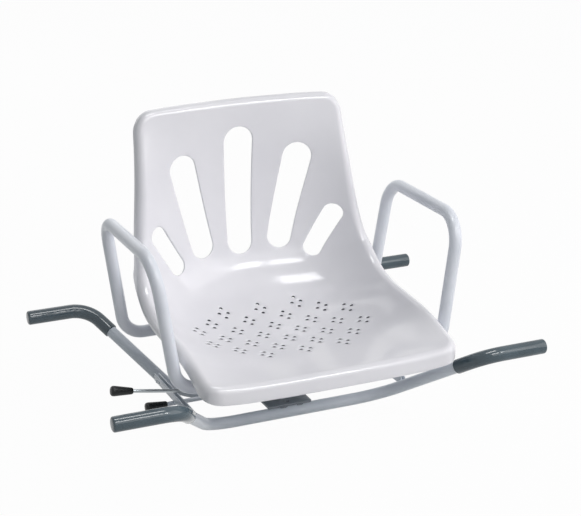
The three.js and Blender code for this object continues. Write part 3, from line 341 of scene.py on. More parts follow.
def inside_loop(points, loop):
    x, y = points[:, 0], points[:, 1]
    hit = np.zeros(len(points), bool)
    for (x0, y0), (x1, y1) in zip(loop, np.roll(loop, -1, axis=0)):
        crosses = (y0 > y) != (y1 > y)
        with np.errstate(divide="ignore", invalid="ignore"):
            at = (x1 - x0) * (y - y0) / (y1 - y0) + x0
        hit ^= crosses & (x < at)
    return hit


def flat_cover(flat, edges, border, holes):
    """Triangles over a flat outline without its holes, all running against the clock."""
    made, _, triangles, _, _, _ = delaunay_2d_cdt([Vector(p) for p in flat], edges, [], 0, MERGE_BELOW)
    if len(made) != len(flat):
        raise SystemExit("outlines of a flat cover touch")
    triangles = np.array([t for t in triangles if len(t) == 3])
    middles = flat[triangles].mean(1)
    good = inside_loop(middles, border)
    for hole in holes:
        good &= ~inside_loop(middles, hole)
    triangles = triangles[good]
    a, b, c = [flat[triangles[:, k]] for k in range(3)]
    wrong = (b[:, 0] - a[:, 0]) * (c[:, 1] - a[:, 1]) - (b[:, 1] - a[:, 1]) * (c[:, 0] - a[:, 0]) < 0
    triangles[wrong] = triangles[wrong][:, ::-1]
    return triangles


def inward_steps(loop):
    """At each point of a loop, the step that moves its two edges inward by 1."""
    into, out = loop - np.roll(loop, 1, axis=0), np.roll(loop, -1, axis=0) - loop
    into /= np.linalg.norm(into, axis=1, keepdims=True)
    out /= np.linalg.norm(out, axis=1, keepdims=True)
    middle = (into + out) / np.linalg.norm(into + out, axis=1, keepdims=True)
    reach = 1 / np.maximum((middle * out).sum(1, keepdims=True), STEEPEST_CORNER)
    return np.stack([-middle[:, 1], middle[:, 0]], 1) * reach


def plate(loops, low, high, bevel=0.5):
    """A flat body between two heights with rounded rims, from its outline and then its holes."""
    rims = []
    for k, loop in enumerate(loops):
        loop = np.array(loop, float)
        after = np.roll(loop, -1, axis=0)
        area = (loop[:, 0] * after[:, 1] - after[:, 0] * loop[:, 1]).sum()
        rims.append(loop if (area > 0) == (k == 0) else loop[::-1])
    inward = [inward_steps(rim) for rim in rims]
    turns = [math.radians(angle) for angle in (90, 60, 30, 0)]
    upper = [(bevel * (1 - math.cos(a)), high - bevel + bevel * math.sin(a)) for a in turns]
    levels = upper + [(inset, high + low - height) for inset, height in upper[::-1]]
    size = sum(len(rim) for rim in rims)
    points, faces, edges = [], [], []
    for inset, height in levels:
        for rim, step in zip(rims, inward):
            points.extend([(x, y, height) for x, y in rim + step * inset])
    first = 0
    for rim in rims:
        for i in range(len(rim)):
            a, b = first + i, first + (i + 1) % len(rim)
            edges.append((a, b))
            faces.extend([[a + size * (k + 1), b + size * (k + 1), b + size * k, a + size * k]
                          for k in range(len(levels) - 1)])
        first += len(rim)
    top = [rim + step * levels[0][0] for rim, step in zip(rims, inward)]
    bottom = size * (len(levels) - 1)
    for a, b, c in flat_cover(np.concatenate(top), edges, top[0], top[1:]):
        faces.extend([[a, b, c], [c + bottom, b + bottom, a + bottom]])
    return points, faces


def bead(path, radius, closed=False):
    """A weld bead along a path: a thin body with the small ripples that a weld leaves."""
    path = np.array(path, float)
    ends = np.vstack([path, path[:1]]) if closed else path
    length = np.concatenate([[0], np.cumsum(np.linalg.norm(np.diff(ends, axis=0), axis=1))])
    count = max(6, int(length[-1] / BEAD_STEP))
    at = np.linspace(0, length[-1], count + 1)[:count if closed else count + 1]
    centres = np.stack([np.interp(at, length, ends[:, k]) for k in range(3)], 1)
    ahead = np.roll(centres, -1, axis=0) - np.roll(centres, 1, axis=0)
    if not closed:
        ahead[0], ahead[-1] = centres[1] - centres[0], centres[-1] - centres[-2]
    points = []
    for k, (centre, along) in enumerate(zip(centres, ahead)):
        along /= np.linalg.norm(along)
        side = np.cross(along, BEAD_SIDEWAYS)
        side /= np.linalg.norm(side)
        up = np.cross(side, along)
        size = radius * (1 + sum(depth * math.sin(k * pace) for depth, pace in BEAD_RIPPLES))
        if not closed:
            size *= min(1, BEAD_END_SHARE + BEAD_RISE_SHARE * min(k, len(centres) - 1 - k))
        points.extend([centre + side * x + up * y for x, y in circle(0, 0, size, BEAD_SIDES)])
    return points, ring_strip(len(centres), BEAD_SIDES, closed)


def toward(place, direction):
    """A matrix that lays what stands on Z along a direction, with its foot at a place."""
    turn = Vector((0, 0, 1)).rotation_difference(Vector(direction)).to_matrix().to_4x4()
    return Matrix.Translation(Vector(place)) @ turn


# Frame tubes and their grips. The grips' ends are (distance from the end, radius) pairs.
TUBE_END = SPAN_HALF - GRIP_END_WALL - SEAT_GAP
GRIP_CLOSED_END = [(0, 0.2), (0, 8.2), (0.3, 9.8), (1.1, 11.2), (2.3, 12.0), (3.6, GRIP_RADIUS)]
GRIP_OPEN_END = [(1.4, GRIP_RADIUS), (0.7, 12.05), (0.2, 11.6), (0, 11.0), (0, 10.1)]


def slant_point(side, row, share):
    x = side * (LOWER_BEND_X + (RIM_BEND_X - LOWER_BEND_X) * share)
    y = row * (LOWER_RUN_Y + (RIM_ROW_HALF - LOWER_RUN_Y) * share)
    return (x, y, BASE_TUBE_RADIUS + (RIM_HEIGHT - BASE_TUBE_RADIUS) * share)


def tube_half(side, row, end_x, share):
    """Corners of a tube from its end on the rim down to a place on its slant."""
    end = (side * end_x, row * RIM_ROW_HALF, RIM_HEIGHT)
    return [end, slant_point(side, row, 1), slant_point(side, row, share)]


def frame_tube(row):
    left, right = [tube_half(side, row, TUBE_END, 0) for side in (-1, 1)]
    bends = [UPPER_BEND_RADIUS, LOWER_BEND_RADIUS, LOWER_BEND_RADIUS, UPPER_BEND_RADIUS]
    return sweep(bent_path(left + right[::-1], bends), BASE_TUBE_RADIUS)


def grip(side, row):
    path = bent_path(tube_half(side, row, SPAN_HALF, 1 - GRIP_SLANT_SHARE), [UPPER_BEND_RADIUS])
    return sweep(path, GRIP_RADIUS, GRIP_CLOSED_END, GRIP_OPEN_END)


for row_name, row in ROWS:
    piece(f"{row_name}_frame_tube", frame_tube(row), FRAME_COAT, "base_frame", f"{row_name}_base_tube",
          ROUND_EDGE)
    for side_name, side in SIDES:
        name = f"{row_name}_{side_name}"
        piece(f"{name}_sleeve", grip(side, row), GRIP_VINYL, "base_frame", f"{name}_grip", GRIP_EDGE)

# Arm loops, open at their inner ends, each with a turned-off rim
ARM_BORE = ARM_TUBE_RADIUS - ARM_TUBE_WALL
ARM_END = [(6, ARM_BORE), (0.3, ARM_BORE), (0, ARM_BORE + 0.3), (0, ARM_TUBE_RADIUS - 0.4),
           (0.4, ARM_TUBE_RADIUS)]


def arm_loop(side):
    places = [(ARM_INNER_END_X, ARM_FOOT), (ARM_FOOT["x"], ARM_FOOT), (ARM_TOP["x"], ARM_TOP)]
    front, rear = [[(side * x, level[end], level["z"]) for x, level in places] for end in ("front", "rear")]
    bends = [ARM_FOOT["radius"], ARM_TOP["front_radius"], ARM_TOP["rear_radius"], ARM_FOOT["radius"]]
    return sweep(bent_path(front + rear[::-1], bends), ARM_TUBE_RADIUS, ARM_END, ARM_END[::-1])


for side_name, side in SIDES:
    piece(f"{side_name}_arm_loop", arm_loop(side), ARM_COAT, "seat_swivel", f"{side_name}_arm_tube",
          ARM_EDGE)


# Seat shell: smooth curves through the same shares as the solid's
PROFILE_SHARES = [
    (0.029, 0.035), (0.159, 0.026), (0.306, 0.013), (0.474, 0.001), (0.636, 0), (0.774, 0.023),
    (0.879, 0.078), (0.955, 0.166), (0.99, 0.278), (1, 0.44), (0.992, 0.692), (0.964, 0.966),
]
DISH_SHARES = [0.01, 0.02, 0.05, 0.045, 0.03, 0.05, 0.11, 0.18, 0.21, 0.19, 0.17, 0.03]
RIM_SHARES = [0.01, 0.115, 0.16, 0.21, 0.26, 0.315, 0.31, 0.235, 0.187, 0.122, 0.05, 0]
WIDTH_SHARES = [1, 1, 1, 1, 0.99, 0.975, 0.96, 0.945, 0.93, 0.906, 0.872, 0.849]
SKIRT_SHARES = [1, 0.45, 0.25, 0.22, 0.3, 0.5, 0.8, 0.9, 0.75, 0.5, 0.35, 0.3]
KNOTS = len(PROFILE_SHARES) - 1
CURVE_SAMPLES = 4001
SLOPE_STEP, NORMAL_STEP = 0.01, 1.0
SIDE_SMOOTHING = 30
BLEND_STEPS = np.linspace(-2.4, 2.4, 13)
BLEND_SHARES = np.exp(-BLEND_STEPS ** 2 / 2) / np.exp(-BLEND_STEPS ** 2 / 2).sum()
HALVINGS = 30


def natural_spline(values):
    """A smooth curve through values at 0, 1, 2 ..., as a function of an array."""
    y = np.array(values, float)
    n = len(y)
    matrix = np.eye(n)
    right = np.zeros(n)
    for i in range(1, n - 1):
        matrix[i, i - 1:i + 2] = (1, 4, 1)
        right[i] = 6 * (y[i - 1] - 2 * y[i] + y[i + 1])
    bend = np.linalg.solve(matrix, right)

    def at(t):
        t = np.clip(t, 0, n - 1)
        i = np.minimum(t.astype(int), n - 2)
        u = t - i
        return ((1 - u) * y[i] + u * y[i + 1]
                + ((1 - u) ** 3 - (1 - u)) * bend[i] / 6 + (u ** 3 - u) * bend[i + 1] / 6)

    return at


centre_y = natural_spline([SEAT_FRONT_Y + (SEAT_REAR_Y - SEAT_FRONT_Y) * a for a, _ in PROFILE_SHARES])
centre_z = natural_spline([SEAT_TOP_HEIGHT + (BACK_TOP_HEIGHT - SEAT_TOP_HEIGHT) * b
                           for _, b in PROFILE_SHARES])
dish, rim = natural_spline(DISH_SHARES), natural_spline(RIM_SHARES)
width, skirt = natural_spline(WIDTH_SHARES), natural_spline(SKIRT_SHARES)
fine_t = np.linspace(0, KNOTS, CURVE_SAMPLES)
fine_yz = np.stack([centre_y(fine_t), centre_z(fine_t)], 1)
fine_along = np.concatenate([[0], np.cumsum(np.linalg.norm(np.diff(fine_yz, axis=0), axis=1))])
SHELL_LENGTH = fine_along[-1]


def plain_shell_points(x, along):
    """Points of the sitter's face, from places across and along the flat shell."""
    inside = np.clip(along, 0, SHELL_LENGTH)
    t = np.interp(inside, fine_along, fine_t)
    before, after = np.maximum(t - SLOPE_STEP, 0), np.minimum(t + SLOPE_STEP, KNOTS)
    dy, dz = centre_y(after) - centre_y(before), centre_z(after) - centre_z(before)
    size = np.hypot(dy, dz)
    ty, tz = dy / size, dz / size
    across = x / SHELL_HALF_WIDTH
    rise = SHELL_HALF_WIDTH * (dish(t) * across ** 2 + rim(t) * across ** 4)
    over = along - inside
    return np.stack([x * width(t), centre_y(t) - tz * rise + ty * over,
                     centre_z(t) + ty * rise + tz * over], -1)


def shell_points(x, along):
    """The same face with its raised sides blended along the shell, so that they bend softly."""
    x, along = np.asarray(x, float), np.asarray(along, float)
    spread = SIDE_SMOOTHING * (x / SHELL_HALF_WIDTH) ** 4
    return sum(share * plain_shell_points(x, along + step * spread)
               for step, share in zip(BLEND_STEPS, BLEND_SHARES))


def shell_normals(x, along):
    low, high = np.maximum(along - NORMAL_STEP, 0), np.minimum(along + NORMAL_STEP, SHELL_LENGTH)
    across = shell_points(x + NORMAL_STEP, along) - shell_points(x - NORMAL_STEP, along)
    upward = shell_points(x, high) - shell_points(x, low)
    normal = np.cross(across, upward)
    return normal / np.linalg.norm(normal, axis=-1, keepdims=True)


def flat_place(point_x, target, axis, low, high):
    """Where a point with the given x and the given y or z lies on the flat shell."""
    point_x, target = np.asarray(point_x, float), np.asarray(target, float)
    bottom, top = np.full(target.shape, low, float), np.full(target.shape, high, float)
    for _ in range(HALVINGS):
        middle = (bottom + top) / 2
        t = np.interp(middle, fine_along, fine_t)
        found = shell_points(point_x / width(t), middle)[..., axis]
        below = found < target
        bottom, top = np.where(below, middle, bottom), np.where(below, top, middle)
    t = np.interp(bottom, fine_along, fine_t)
    return np.stack([point_x / width(t), bottom], -1)


# Slots: the x, z and radius of the top end and then of the foot. Drains lie in groups of four.
SLOTS = [
    (0, 417.7, 26, 0, 237, 22),
    (105, 381.4, 24.5, 71.5, 239, 20.5), (-105, 381.4, 24.5, -71.5, 239, 20.5),
    (161, 279, 15, 125, 217, 14), (-161, 279, 15, -125, 217, 14),
]
SLOT_EDGE = 1.9
SLOT_RIM_SHARES = (0.0, 0.12, 0.35, 0.65, 1.0)
SLOT_STEP = 7.0
SLOT_END_STEPS = 16
BACK_FROM_SHARE = 0.4
DRAIN_ROWS = [3, 4, 5, 4, 5, 4, 3]
DRAIN_REAR_Y = 80
DRAIN_ROW_STEP = 32.3
DRAIN_COLUMN_STEP = 67.4
DRAIN_GROUP = [(-8, 0), (8, 0), (0, -13), (0, 13)]
DRAIN_RADIUS = 2.9
DRAIN_EDGE = 0.4
DRAIN_SIDES = 14
PAN_TO_SHARE = 0.6
BORDER_CORNER_STEPS = 8

# How far the shell's inner points keep from its outlines
BORDER_ROOM, SLOT_ROOM, DRAIN_ROOM = [share * SHELL_STEP for share in (0.5, 0.45, 0.3)]

# Lip and skirt
LIP_STEPS, INNER_LIP_STEPS = 10, 8
SKIRT_ROW_SHARES = (0.34, 0.67, 1.0)
SKIRT_FOOT_RADIUS = 1.4


def spaced_loop(corners, step):
    """A closed loop through the corners with its points about a step apart."""
    made = []
    for a, b in zip(corners, corners[1:] + corners[:1]):
        count = max(1, round(math.dist(a, b) / step))
        made.extend([(a[0] + (b[0] - a[0]) * k / count, a[1] + (b[1] - a[1]) * k / count)
                     for k in range(count)])
    return np.array(made)


def slot_outline(slot, grow):
    top_x, top_z, top_r, foot_x, foot_z, foot_r = slot
    lean = math.atan2(top_x - foot_x, top_z - foot_z)
    made = []
    for x, z, radius, start in ((top_x, top_z, top_r, 0), (foot_x, foot_z, foot_r, math.pi)):
        for i in range(SLOT_END_STEPS + 1):
            angle = start + math.pi * i / SLOT_END_STEPS - lean
            made.append((x + (radius + grow) * math.cos(angle), z + (radius + grow) * math.sin(angle)))
    return spaced_loop(made, SLOT_STEP)


def drain_centres():
    made = []
    for row, count in enumerate(DRAIN_ROWS):
        y = DRAIN_REAR_Y - row * DRAIN_ROW_STEP
        for i in range(count):
            x = (i - (count - 1) / 2) * DRAIN_COLUMN_STEP
            made.extend([(x + across, y + along) for across, along in DRAIN_GROUP])
    return made


def border_loop():
    """The flat outline of the shell inside its lip."""
    half = SHELL_HALF_WIDTH - SHELL_LIP_RADIUS
    front, top = FRONT_CORNER_RADIUS - SHELL_LIP_RADIUS, TOP_CORNER_RADIUS - SHELL_LIP_RADIUS
    arcs = [
        (half - front, front, front, -math.pi / 2), (half - top, SHELL_LENGTH - top, top, 0),
        (-half + top, SHELL_LENGTH - top, top, math.pi / 2), (-half + front, front, front, math.pi),
    ]
    corners = []
    for x, y, radius, start in arcs:
        for k in range(BORDER_CORNER_STEPS + 1):
            angle = start + math.pi / 2 * k / BORDER_CORNER_STEPS
            corners.append((x + radius * math.cos(angle), y + radius * math.sin(angle)))
    return spaced_loop(corners, EDGE_STEP)


def shell_loops():
    """Outlines on the flat shell, the border first, each as (loop, drop, rounding, room).

    The drop is a rim's depth below the face. Only a hole's innermost rim has a rounding, and only the
    border and a hole's outermost rim name the room that they need.
    """
    loops = [(border_loop(), 0, None, BORDER_ROOM)]
    for slot in SLOTS:
        for share in SLOT_RIM_SHARES:
            grow = SLOT_EDGE * share
            drop = SLOT_EDGE - math.sqrt(SLOT_EDGE ** 2 - (SLOT_EDGE - grow) ** 2)
            outline = slot_outline(slot, grow)
            loop = flat_place(outline[:, 0], outline[:, 1], 2, BACK_FROM_SHARE * SHELL_LENGTH, SHELL_LENGTH)
            loops.append((loop, drop, SLOT_EDGE if share == 0 else None,
                          SLOT_ROOM if share == 1 else None))
    radii = (DRAIN_RADIUS, DRAIN_RADIUS + DRAIN_EDGE)
    rims = np.array([[circle(x, y, radius, DRAIN_SIDES) for radius in radii] for x, y in drain_centres()])
    for inner, outer in flat_place(rims[..., 0], rims[..., 1], 1, 0, PAN_TO_SHARE * SHELL_LENGTH):
        loops.append((inner, DRAIN_EDGE, DRAIN_EDGE, None))
        loops.append((outer, 0, None, DRAIN_ROOM))
    return loops


def loop_distance(points, loop):
    near = np.full(len(points), np.inf)
    for a, b in zip(loop, np.roll(loop, -1, axis=0)):
        d = b - a
        t = np.clip(((points - a) @ d) / (d @ d), 0, 1)
        near = np.minimum(near, np.linalg.norm(points - a - t[:, None] * d, axis=1))
    return near


def points_between(loops):
    """The points of a grid on the flat shell that lie clear of its outlines."""
    half = SHELL_HALF_WIDTH - SHELL_LIP_RADIUS
    columns = np.linspace(-half, half, int(2 * half / SHELL_STEP))
    rows = np.linspace(0, SHELL_LENGTH, int(SHELL_LENGTH / SHELL_STEP))
    grid = np.array([(x, y) for y in rows for x in columns])
    border = loops[0][0]
    keep = inside_loop(grid, border)
    for loop, _, _, room in loops:
        if room is not None:
            keep &= loop_distance(grid, loop) >= room
            if loop is not border:
                keep &= ~inside_loop(grid, loop)
    return grid[keep]


def lip_and_skirt(at, up, along):
    """Rings of points round the border: the lip, the skirt, its rounded foot and the way back inside."""
    outward = np.cross(np.roll(at, -1, axis=0) - np.roll(at, 1, axis=0), up)
    outward /= np.linalg.norm(outward, axis=1, keepdims=True)
    level = up * [0, 1, 1]
    level /= np.linalg.norm(level, axis=1, keepdims=True)
    turn = np.arccos(np.clip(-(level * outward).sum(1), -1, 1)) - SKIRT_DRAFT
    depth = FRONT_SKIRT_DEPTH * skirt(np.interp(along, fine_along, fine_t))
    hub = at - up * SHELL_LIP_RADIUS
    fall = outward * np.cos(turn)[:, None] - up * np.sin(turn)[:, None]
    away = outward * np.sin(turn)[:, None] + up * np.cos(turn)[:, None]

    def arc(radius, angle):
        return hub + outward * (radius * np.sin(angle))[:, None] + up * (radius * np.cos(angle))[:, None]

    def foot(start, side, angles):
        turns = [math.radians(angle) for angle in angles]
        return [start + fall * (SKIRT_FOOT_RADIUS * math.sin(swing))
                + side * (SKIRT_FOOT_RADIUS * (1 - math.cos(swing))) for swing in turns]

    lip = [arc(SHELL_LIP_RADIUS, turn * k / LIP_STEPS) for k in range(1, LIP_STEPS + 1)]
    wall = [lip[-1] + fall * ((depth - SKIRT_FOOT_RADIUS) * share)[:, None] for share in SKIRT_ROW_SHARES]
    inner = SHELL_LIP_RADIUS - SHELL_WALL
    return (lip + wall + foot(wall[-1], -away, (30, 60, 90))
            + foot(wall[-1] - away * SHELL_WALL, away, (90, 60, 30, 0))
            + [arc(inner, turn * k / INNER_LIP_STEPS) for k in range(INNER_LIP_STEPS, 0, -1)])


def seat_shell():
    """The moulding's shape, and the numbers of the faces that line its drain holes, which are given a painted
    shade.
    """
    loops = shell_loops()
    runs, edges, drops = [], [], []
    for loop, drop, _, _ in loops:
        run = list(range(len(drops), len(drops) + len(loop)))
        runs.append(run)
        edges.extend(zip(run, run[1:] + run[:1]))
        drops.extend([drop] * len(loop))
    grid = points_between(loops)
    flat = np.concatenate([entry[0] for entry in loops] + [grid])
    holes = [loop for loop, _, rounding, _ in loops if rounding is not None]
    triangles = flat_cover(flat, edges, loops[0][0], holes)
    drops = np.array(drops + [0] * len(grid))[:, None]
    face = shell_points(flat[:, 0], flat[:, 1])
    normal = shell_normals(flat[:, 0], flat[:, 1])
    count = len(flat)
    points = list(face - normal * drops) + list(face - normal * (SHELL_WALL - drops))
    faces = [list(t) for t in triangles] + [[i + count for i in t[::-1]] for t in triangles]
    painted_shade_faces = []
    for run, (_, _, rounding, _) in zip(runs, loops):
        # The drain holes' walls are listed for the painted shade, a dark tone in place of the shade inside
        # them.
        if rounding == DRAIN_EDGE:
            painted_shade_faces.extend(range(len(faces), len(faces) + len(run)))
        if rounding is not None:
            faces.extend([[i, j, j + count, i + count] for i, j in zip(run, run[1:] + run[:1])])
    border = runs[0]
    rows = [border]
    for ring in lip_and_skirt(face[border], normal[border], flat[border][:, 1]):
        rows.append(list(range(len(points), len(points) + len(ring))))
        points.extend(list(ring))
    rows.append([i + count for i in border])
    for here, there in zip(rows, rows[1:]):
        for i in range(len(here)):
            j = (i + 1) % len(here)
            faces.append([here[i], there[i], there[j], here[j]])
    return (points, faces), painted_shade_faces


BOSS_PLACES = [(x, y) for x in (-64, 64) for y in (-96, 62)]
BOSS_BORE, BOSS_BORE_TOP = 3.4, 117
BOSS_RADIUS, BOSS_ROOT_RADIUS, BOSS_ROOT_HEIGHT = 9, 12, 7
BOSS_ROUNDING, BOSS_SIDES = 2, 28
BOSS_DEPTH_IN_SHELL = 2.2


def seat_boss(x, y):
    """A hollow boss under the shell that takes a seat screw, widened where it meets the shell."""
    place = flat_place([x], [y], 1, 0, PAN_TO_SHARE * SHELL_LENGTH)
    top = shell_points(place[:, 0], place[:, 1])[0][2] - BOSS_DEPTH_IN_SHELL
    low = heights("seat_shell")[0]
    profile = [(0, BOSS_BORE_TOP), (BOSS_BORE, BOSS_BORE_TOP), (BOSS_BORE, low), (BOSS_RADIUS, low),
               (BOSS_RADIUS, top - BOSS_ROOT_HEIGHT), (BOSS_ROOT_RADIUS, top), (0, top)]
    return moved(turned(profile, BOSS_ROUNDING, BOSS_SIDES), Matrix.Translation((x, y, 0)))


shell_shape, painted_shade_faces = seat_shell()
seat = piece("moulded_seat", joined(shell_shape, *[seat_boss(x, y) for x, y in BOSS_PLACES]), SHELL,
             "seat_swivel", "seat_shell", SHELL_EDGE)
# The drain holes' walls get a dark material that paints the shade inside the holes.
seat.data.materials.append(DRAIN_PAINTED_SHADE[0])
for number in painted_shade_faces:
    seat.data.polygons[number].material_index = 1


# Tie bars: folded channels, open at the top, with two small holes in the outer wall near the rear end
TIE_X = 186.01
TIE_HALF_WIDTH, TIE_WALL, TIE_LOW, TIE_TOP, TIE_HALF_LENGTH = 4.5, 2, 34.3, 47.3, 97
TIE_FLOOR_INSET = 1
TIE_ROUNDING, TIE_FLOOR_BEVEL = 0.8, 0.4
TIE_HOLES, TIE_HOLE_RADIUS = [(80.4, 40), (70.4, 40)], 1.8
TIE_SEAM = [(-4.6, 88.6, 35.5), (-3.6, 87.2, 34.2), (0, 87.8, 33.8), (3.6, 88.6, 34.2), (4.6, 90.4, 35.5)]
TIE_SEAM_RADIUS = 1.7

# Turns that stand a flat plate up, its normal along X or along Y
FACING_X = Matrix(((0, 0, 1, 0), (1, 0, 0, 0), (0, 1, 0, 0), (0, 0, 0, 1)))
FACING_Y = Matrix(((1, 0, 0, 0), (0, 0, -1, 0), (0, 1, 0, 0), (0, 0, 0, 1)))


def tie_bar(side):
    middle, reach = side * TIE_X, TIE_HALF_LENGTH
    outline = rounded(rectangle(-reach, TIE_LOW, reach, TIE_TOP), TIE_ROUNDING, 3)
    parts = []
    for face in (-1, 1):
        holes = [circle(y, z, TIE_HOLE_RADIUS, 20) for y, z in TIE_HOLES] if face == side else []
        start = middle + (TIE_HALF_WIDTH - TIE_WALL if face > 0 else -TIE_HALF_WIDTH)
        wall = plate([outline] + holes, 0, TIE_WALL)
        parts.append(moved(wall, Matrix.Translation((start, 0, 0)) @ FACING_X))
    half = TIE_HALF_WIDTH - TIE_FLOOR_INSET
    parts.append(plate([rectangle(middle - half, -reach, middle + half, reach)], TIE_LOW, TIE_LOW + TIE_WALL,
                       TIE_FLOOR_BEVEL))
    parts += [bead([(middle + across, row * y, z) for across, y, z in TIE_SEAM], TIE_SEAM_RADIUS)
              for row in (-1, 1)]
    return joined(*parts)


for side_name, side in SIDES:
    piece(f"{side_name}_tie_channel", tie_bar(side), FRAME_COAT, "base_frame", f"{side_name}_tie_bar",
          PLATE_EDGE)


# Centre plate with its tab, welded to the lower runs at its ends
PLATE_BEVEL = 0.6
PLATE_CORNERS = [(29, -70), (29, 70), (-49, 70), (-49, 32), (-70, 32), (-70, -32), (-49, -32), (-49, -70)]
PLATE_CORNER_RADIUS = 2.5
PLATE_HOLES, PLATE_HOLE_RADIUS = [(-10.6, -57.9), (10.6, 57.9)], 4
PLATE_SEAMS, PLATE_SEAM_Y, PLATE_SEAM_LIFT, PLATE_SEAM_RADIUS = [(-28, -15), (2, 13)], 70.6, 0.1, 1.8
POST_SCREWS = [(x, y) for x in (-10, 10) for y in (-40, 40)]
BRAKE_PIVOT, BRAKE_PIVOT_HOLE = (-50, 8), 4.4
SCREW_HOLE = 3.4


def screw_holes(places):
    return [circle(x, y, SCREW_HOLE, 16) for x, y in places]


low, high = heights("centre_plate")
holes = screw_holes(POST_SCREWS) + [circle(*BRAKE_PIVOT, BRAKE_PIVOT_HOLE, 24)]
holes += [circle(x, y, PLATE_HOLE_RADIUS, 28) for x, y in PLATE_HOLES]
seams = [bead([(x, row * PLATE_SEAM_Y, low + PLATE_SEAM_LIFT) for x in run], PLATE_SEAM_RADIUS)
         for row in (-1, 1) for run in PLATE_SEAMS]
outline = rounded(PLATE_CORNERS, PLATE_CORNER_RADIUS)
# The centre plate takes the darkened coat, which paints the seat's shade on it.
piece("frame_plate", joined(plate([outline] + holes, low, high, PLATE_BEVEL), *seams), PLATE_PAINTED_SHADE,
      "base_frame", "centre_plate", PLATE_EDGE)

# Post with its flange, bored at the top for the retaining bolt
FLANGE, FLANGE_THICKNESS, FLANGE_CORNER_RADIUS = rectangle(-18, -48, 18, 48), 4, 3
POST_RADIUS, POST_BORE, POST_BORE_FOOT, POST_ROUNDING, POST_SIDES = 15, 6.4, 80.9, 0.7, 36
POST_IN_FLANGE = 3
low, high = heights("pivot_post")
flange = plate([rounded(FLANGE, FLANGE_CORNER_RADIUS)] + screw_holes(POST_SCREWS), low,
               low + FLANGE_THICKNESS, PLATE_BEVEL)
foot = low + FLANGE_THICKNESS - POST_IN_FLANGE
barrel = [(0, foot), (POST_RADIUS, foot), (POST_RADIUS, high), (POST_BORE, high),
          (POST_BORE, POST_BORE_FOOT), (0, POST_BORE_FOOT)]
piece("post_with_flange", joined(flange, turned(barrel, POST_ROUNDING, POST_SIDES)), FRAME_COAT,
      "base_frame", "pivot_post", PLATE_EDGE)

# Turning sleeve, with the beads that weld it to the index plate and the top plate
SLEEVE_RADIUS, SLEEVE_BORE, SLEEVE_ROUNDING, SLEEVE_SIDES = 20.6, 17.1, 0.6, 44
SLEEVE_BEAD_HEIGHTS, SLEEVE_BEAD_RADIUS = (51.8, 56.2, 100.6), 1.7
low, high = heights("turning_sleeve")
sleeve = rectangle(SLEEVE_BORE, low, SLEEVE_RADIUS, high + SEAT_GAP)
beads = [bead([(*p, height) for p in circle(0, 0, SLEEVE_RADIUS + SEAT_GAP, 48)], SLEEVE_BEAD_RADIUS, True)
         for height in SLEEVE_BEAD_HEIGHTS]
piece("swivel_sleeve", joined(turned(sleeve, SLEEVE_ROUNDING, SLEEVE_SIDES, True), *beads), FRAME_COAT,
      "seat_swivel", "turning_sleeve", TURNED_EDGE)

# Index plate, with a hole for the lock pin at each quarter turn
INDEX_RADIUS, INDEX_BEVEL, INDEX_HOLE_RADIUS = 66, 0.7, 7
INDEX_HOLES = [(-51.6, -24), (24, -51.6), (51.6, 24), (-24, 51.6)]
INDEX_BORE = SLEEVE_RADIUS - 0.2
low, high = heights("index_plate")
disc = [circle(0, 0, INDEX_RADIUS, 96), circle(0, 0, INDEX_BORE, SLEEVE_SIDES)]
disc += [circle(x, y, INDEX_HOLE_RADIUS) for x, y in INDEX_HOLES]
piece("index_disc", plate(disc, low, high, INDEX_BEVEL), FRAME_COAT, "seat_swivel", "index_plate",
      PLATE_EDGE)

# Top plate that carries the seat and the arm loops
TOP_PLATE, TOP_PLATE_CORNER_RADIUS = rectangle(-90, -160, 90, 140), 14
ARM_SCREWS = [(x, ARM_FOOT[end]) for x in (-60, 60) for end in ("front", "rear")]
low, high = heights("top_plate")
holes = screw_holes(ARM_SCREWS + BOSS_PLACES) + [circle(0, 0, SLEEVE_BORE, SLEEVE_SIDES)]
outline = rounded(TOP_PLATE, TOP_PLATE_CORNER_RADIUS, 8)
piece("seat_plate", plate([outline] + holes, low, high, PLATE_BEVEL), FRAME_COAT, "seat_swivel",
      "top_plate", PLATE_EDGE)

# Bushes and the washer that keeps the seat on its post
BUSH_BORE, BUSH_RADIUS, BUSH_FLANGE_RADIUS, BUSH_FLANGE, BUSH_ROUNDING = 15.3, 16.8, 20.6, 2, 0.4
WASHER_BORE, WASHER_RADIUS, WASHER_ROUNDING = 6.5, 26, 0.5
for name, first, second, step_from_low in (("lower", BUSH_FLANGE_RADIUS, BUSH_RADIUS, True),
                                           ("upper", BUSH_RADIUS, BUSH_FLANGE_RADIUS, False)):
    low, high = heights(f"{name}_bush")
    step = low + BUSH_FLANGE if step_from_low else high - BUSH_FLANGE
    bush = [(BUSH_BORE, low), (first, low), (first, step), (second, step), (second, high), (BUSH_BORE, high)]
    piece(f"{name}_flanged_bush", turned(bush, BUSH_ROUNDING, ring=True), NYLON, "base_frame",
          f"{name}_bush", TURNED_EDGE)
low, high = heights("retaining_washer")
washer = rectangle(WASHER_BORE, low, WASHER_RADIUS, high)
piece("post_washer", turned(washer, WASHER_ROUNDING, 48, True), BRIGHT_STEEL, "base_frame",
      "retaining_washer", TURNED_EDGE)


# Screws and bolts: (head height, half width over its corners, shank radius)
SCREW, RETAINING_BOLT, PIVOT_BOLT = (3.8, 5.6, 3), (7.5, 10.5, 6), (4, 7, 4)
HEAD_SIDES, SHANK_SIDES = 48, 20
CROWN_SLOPE, CROWN_FROM_SHARE, CROWN_FLAT_SHARE = 0.55, 0.95, 0.94
SHANK_OVERLAP, SHANK_ROUNDING = 0.4, 0.6


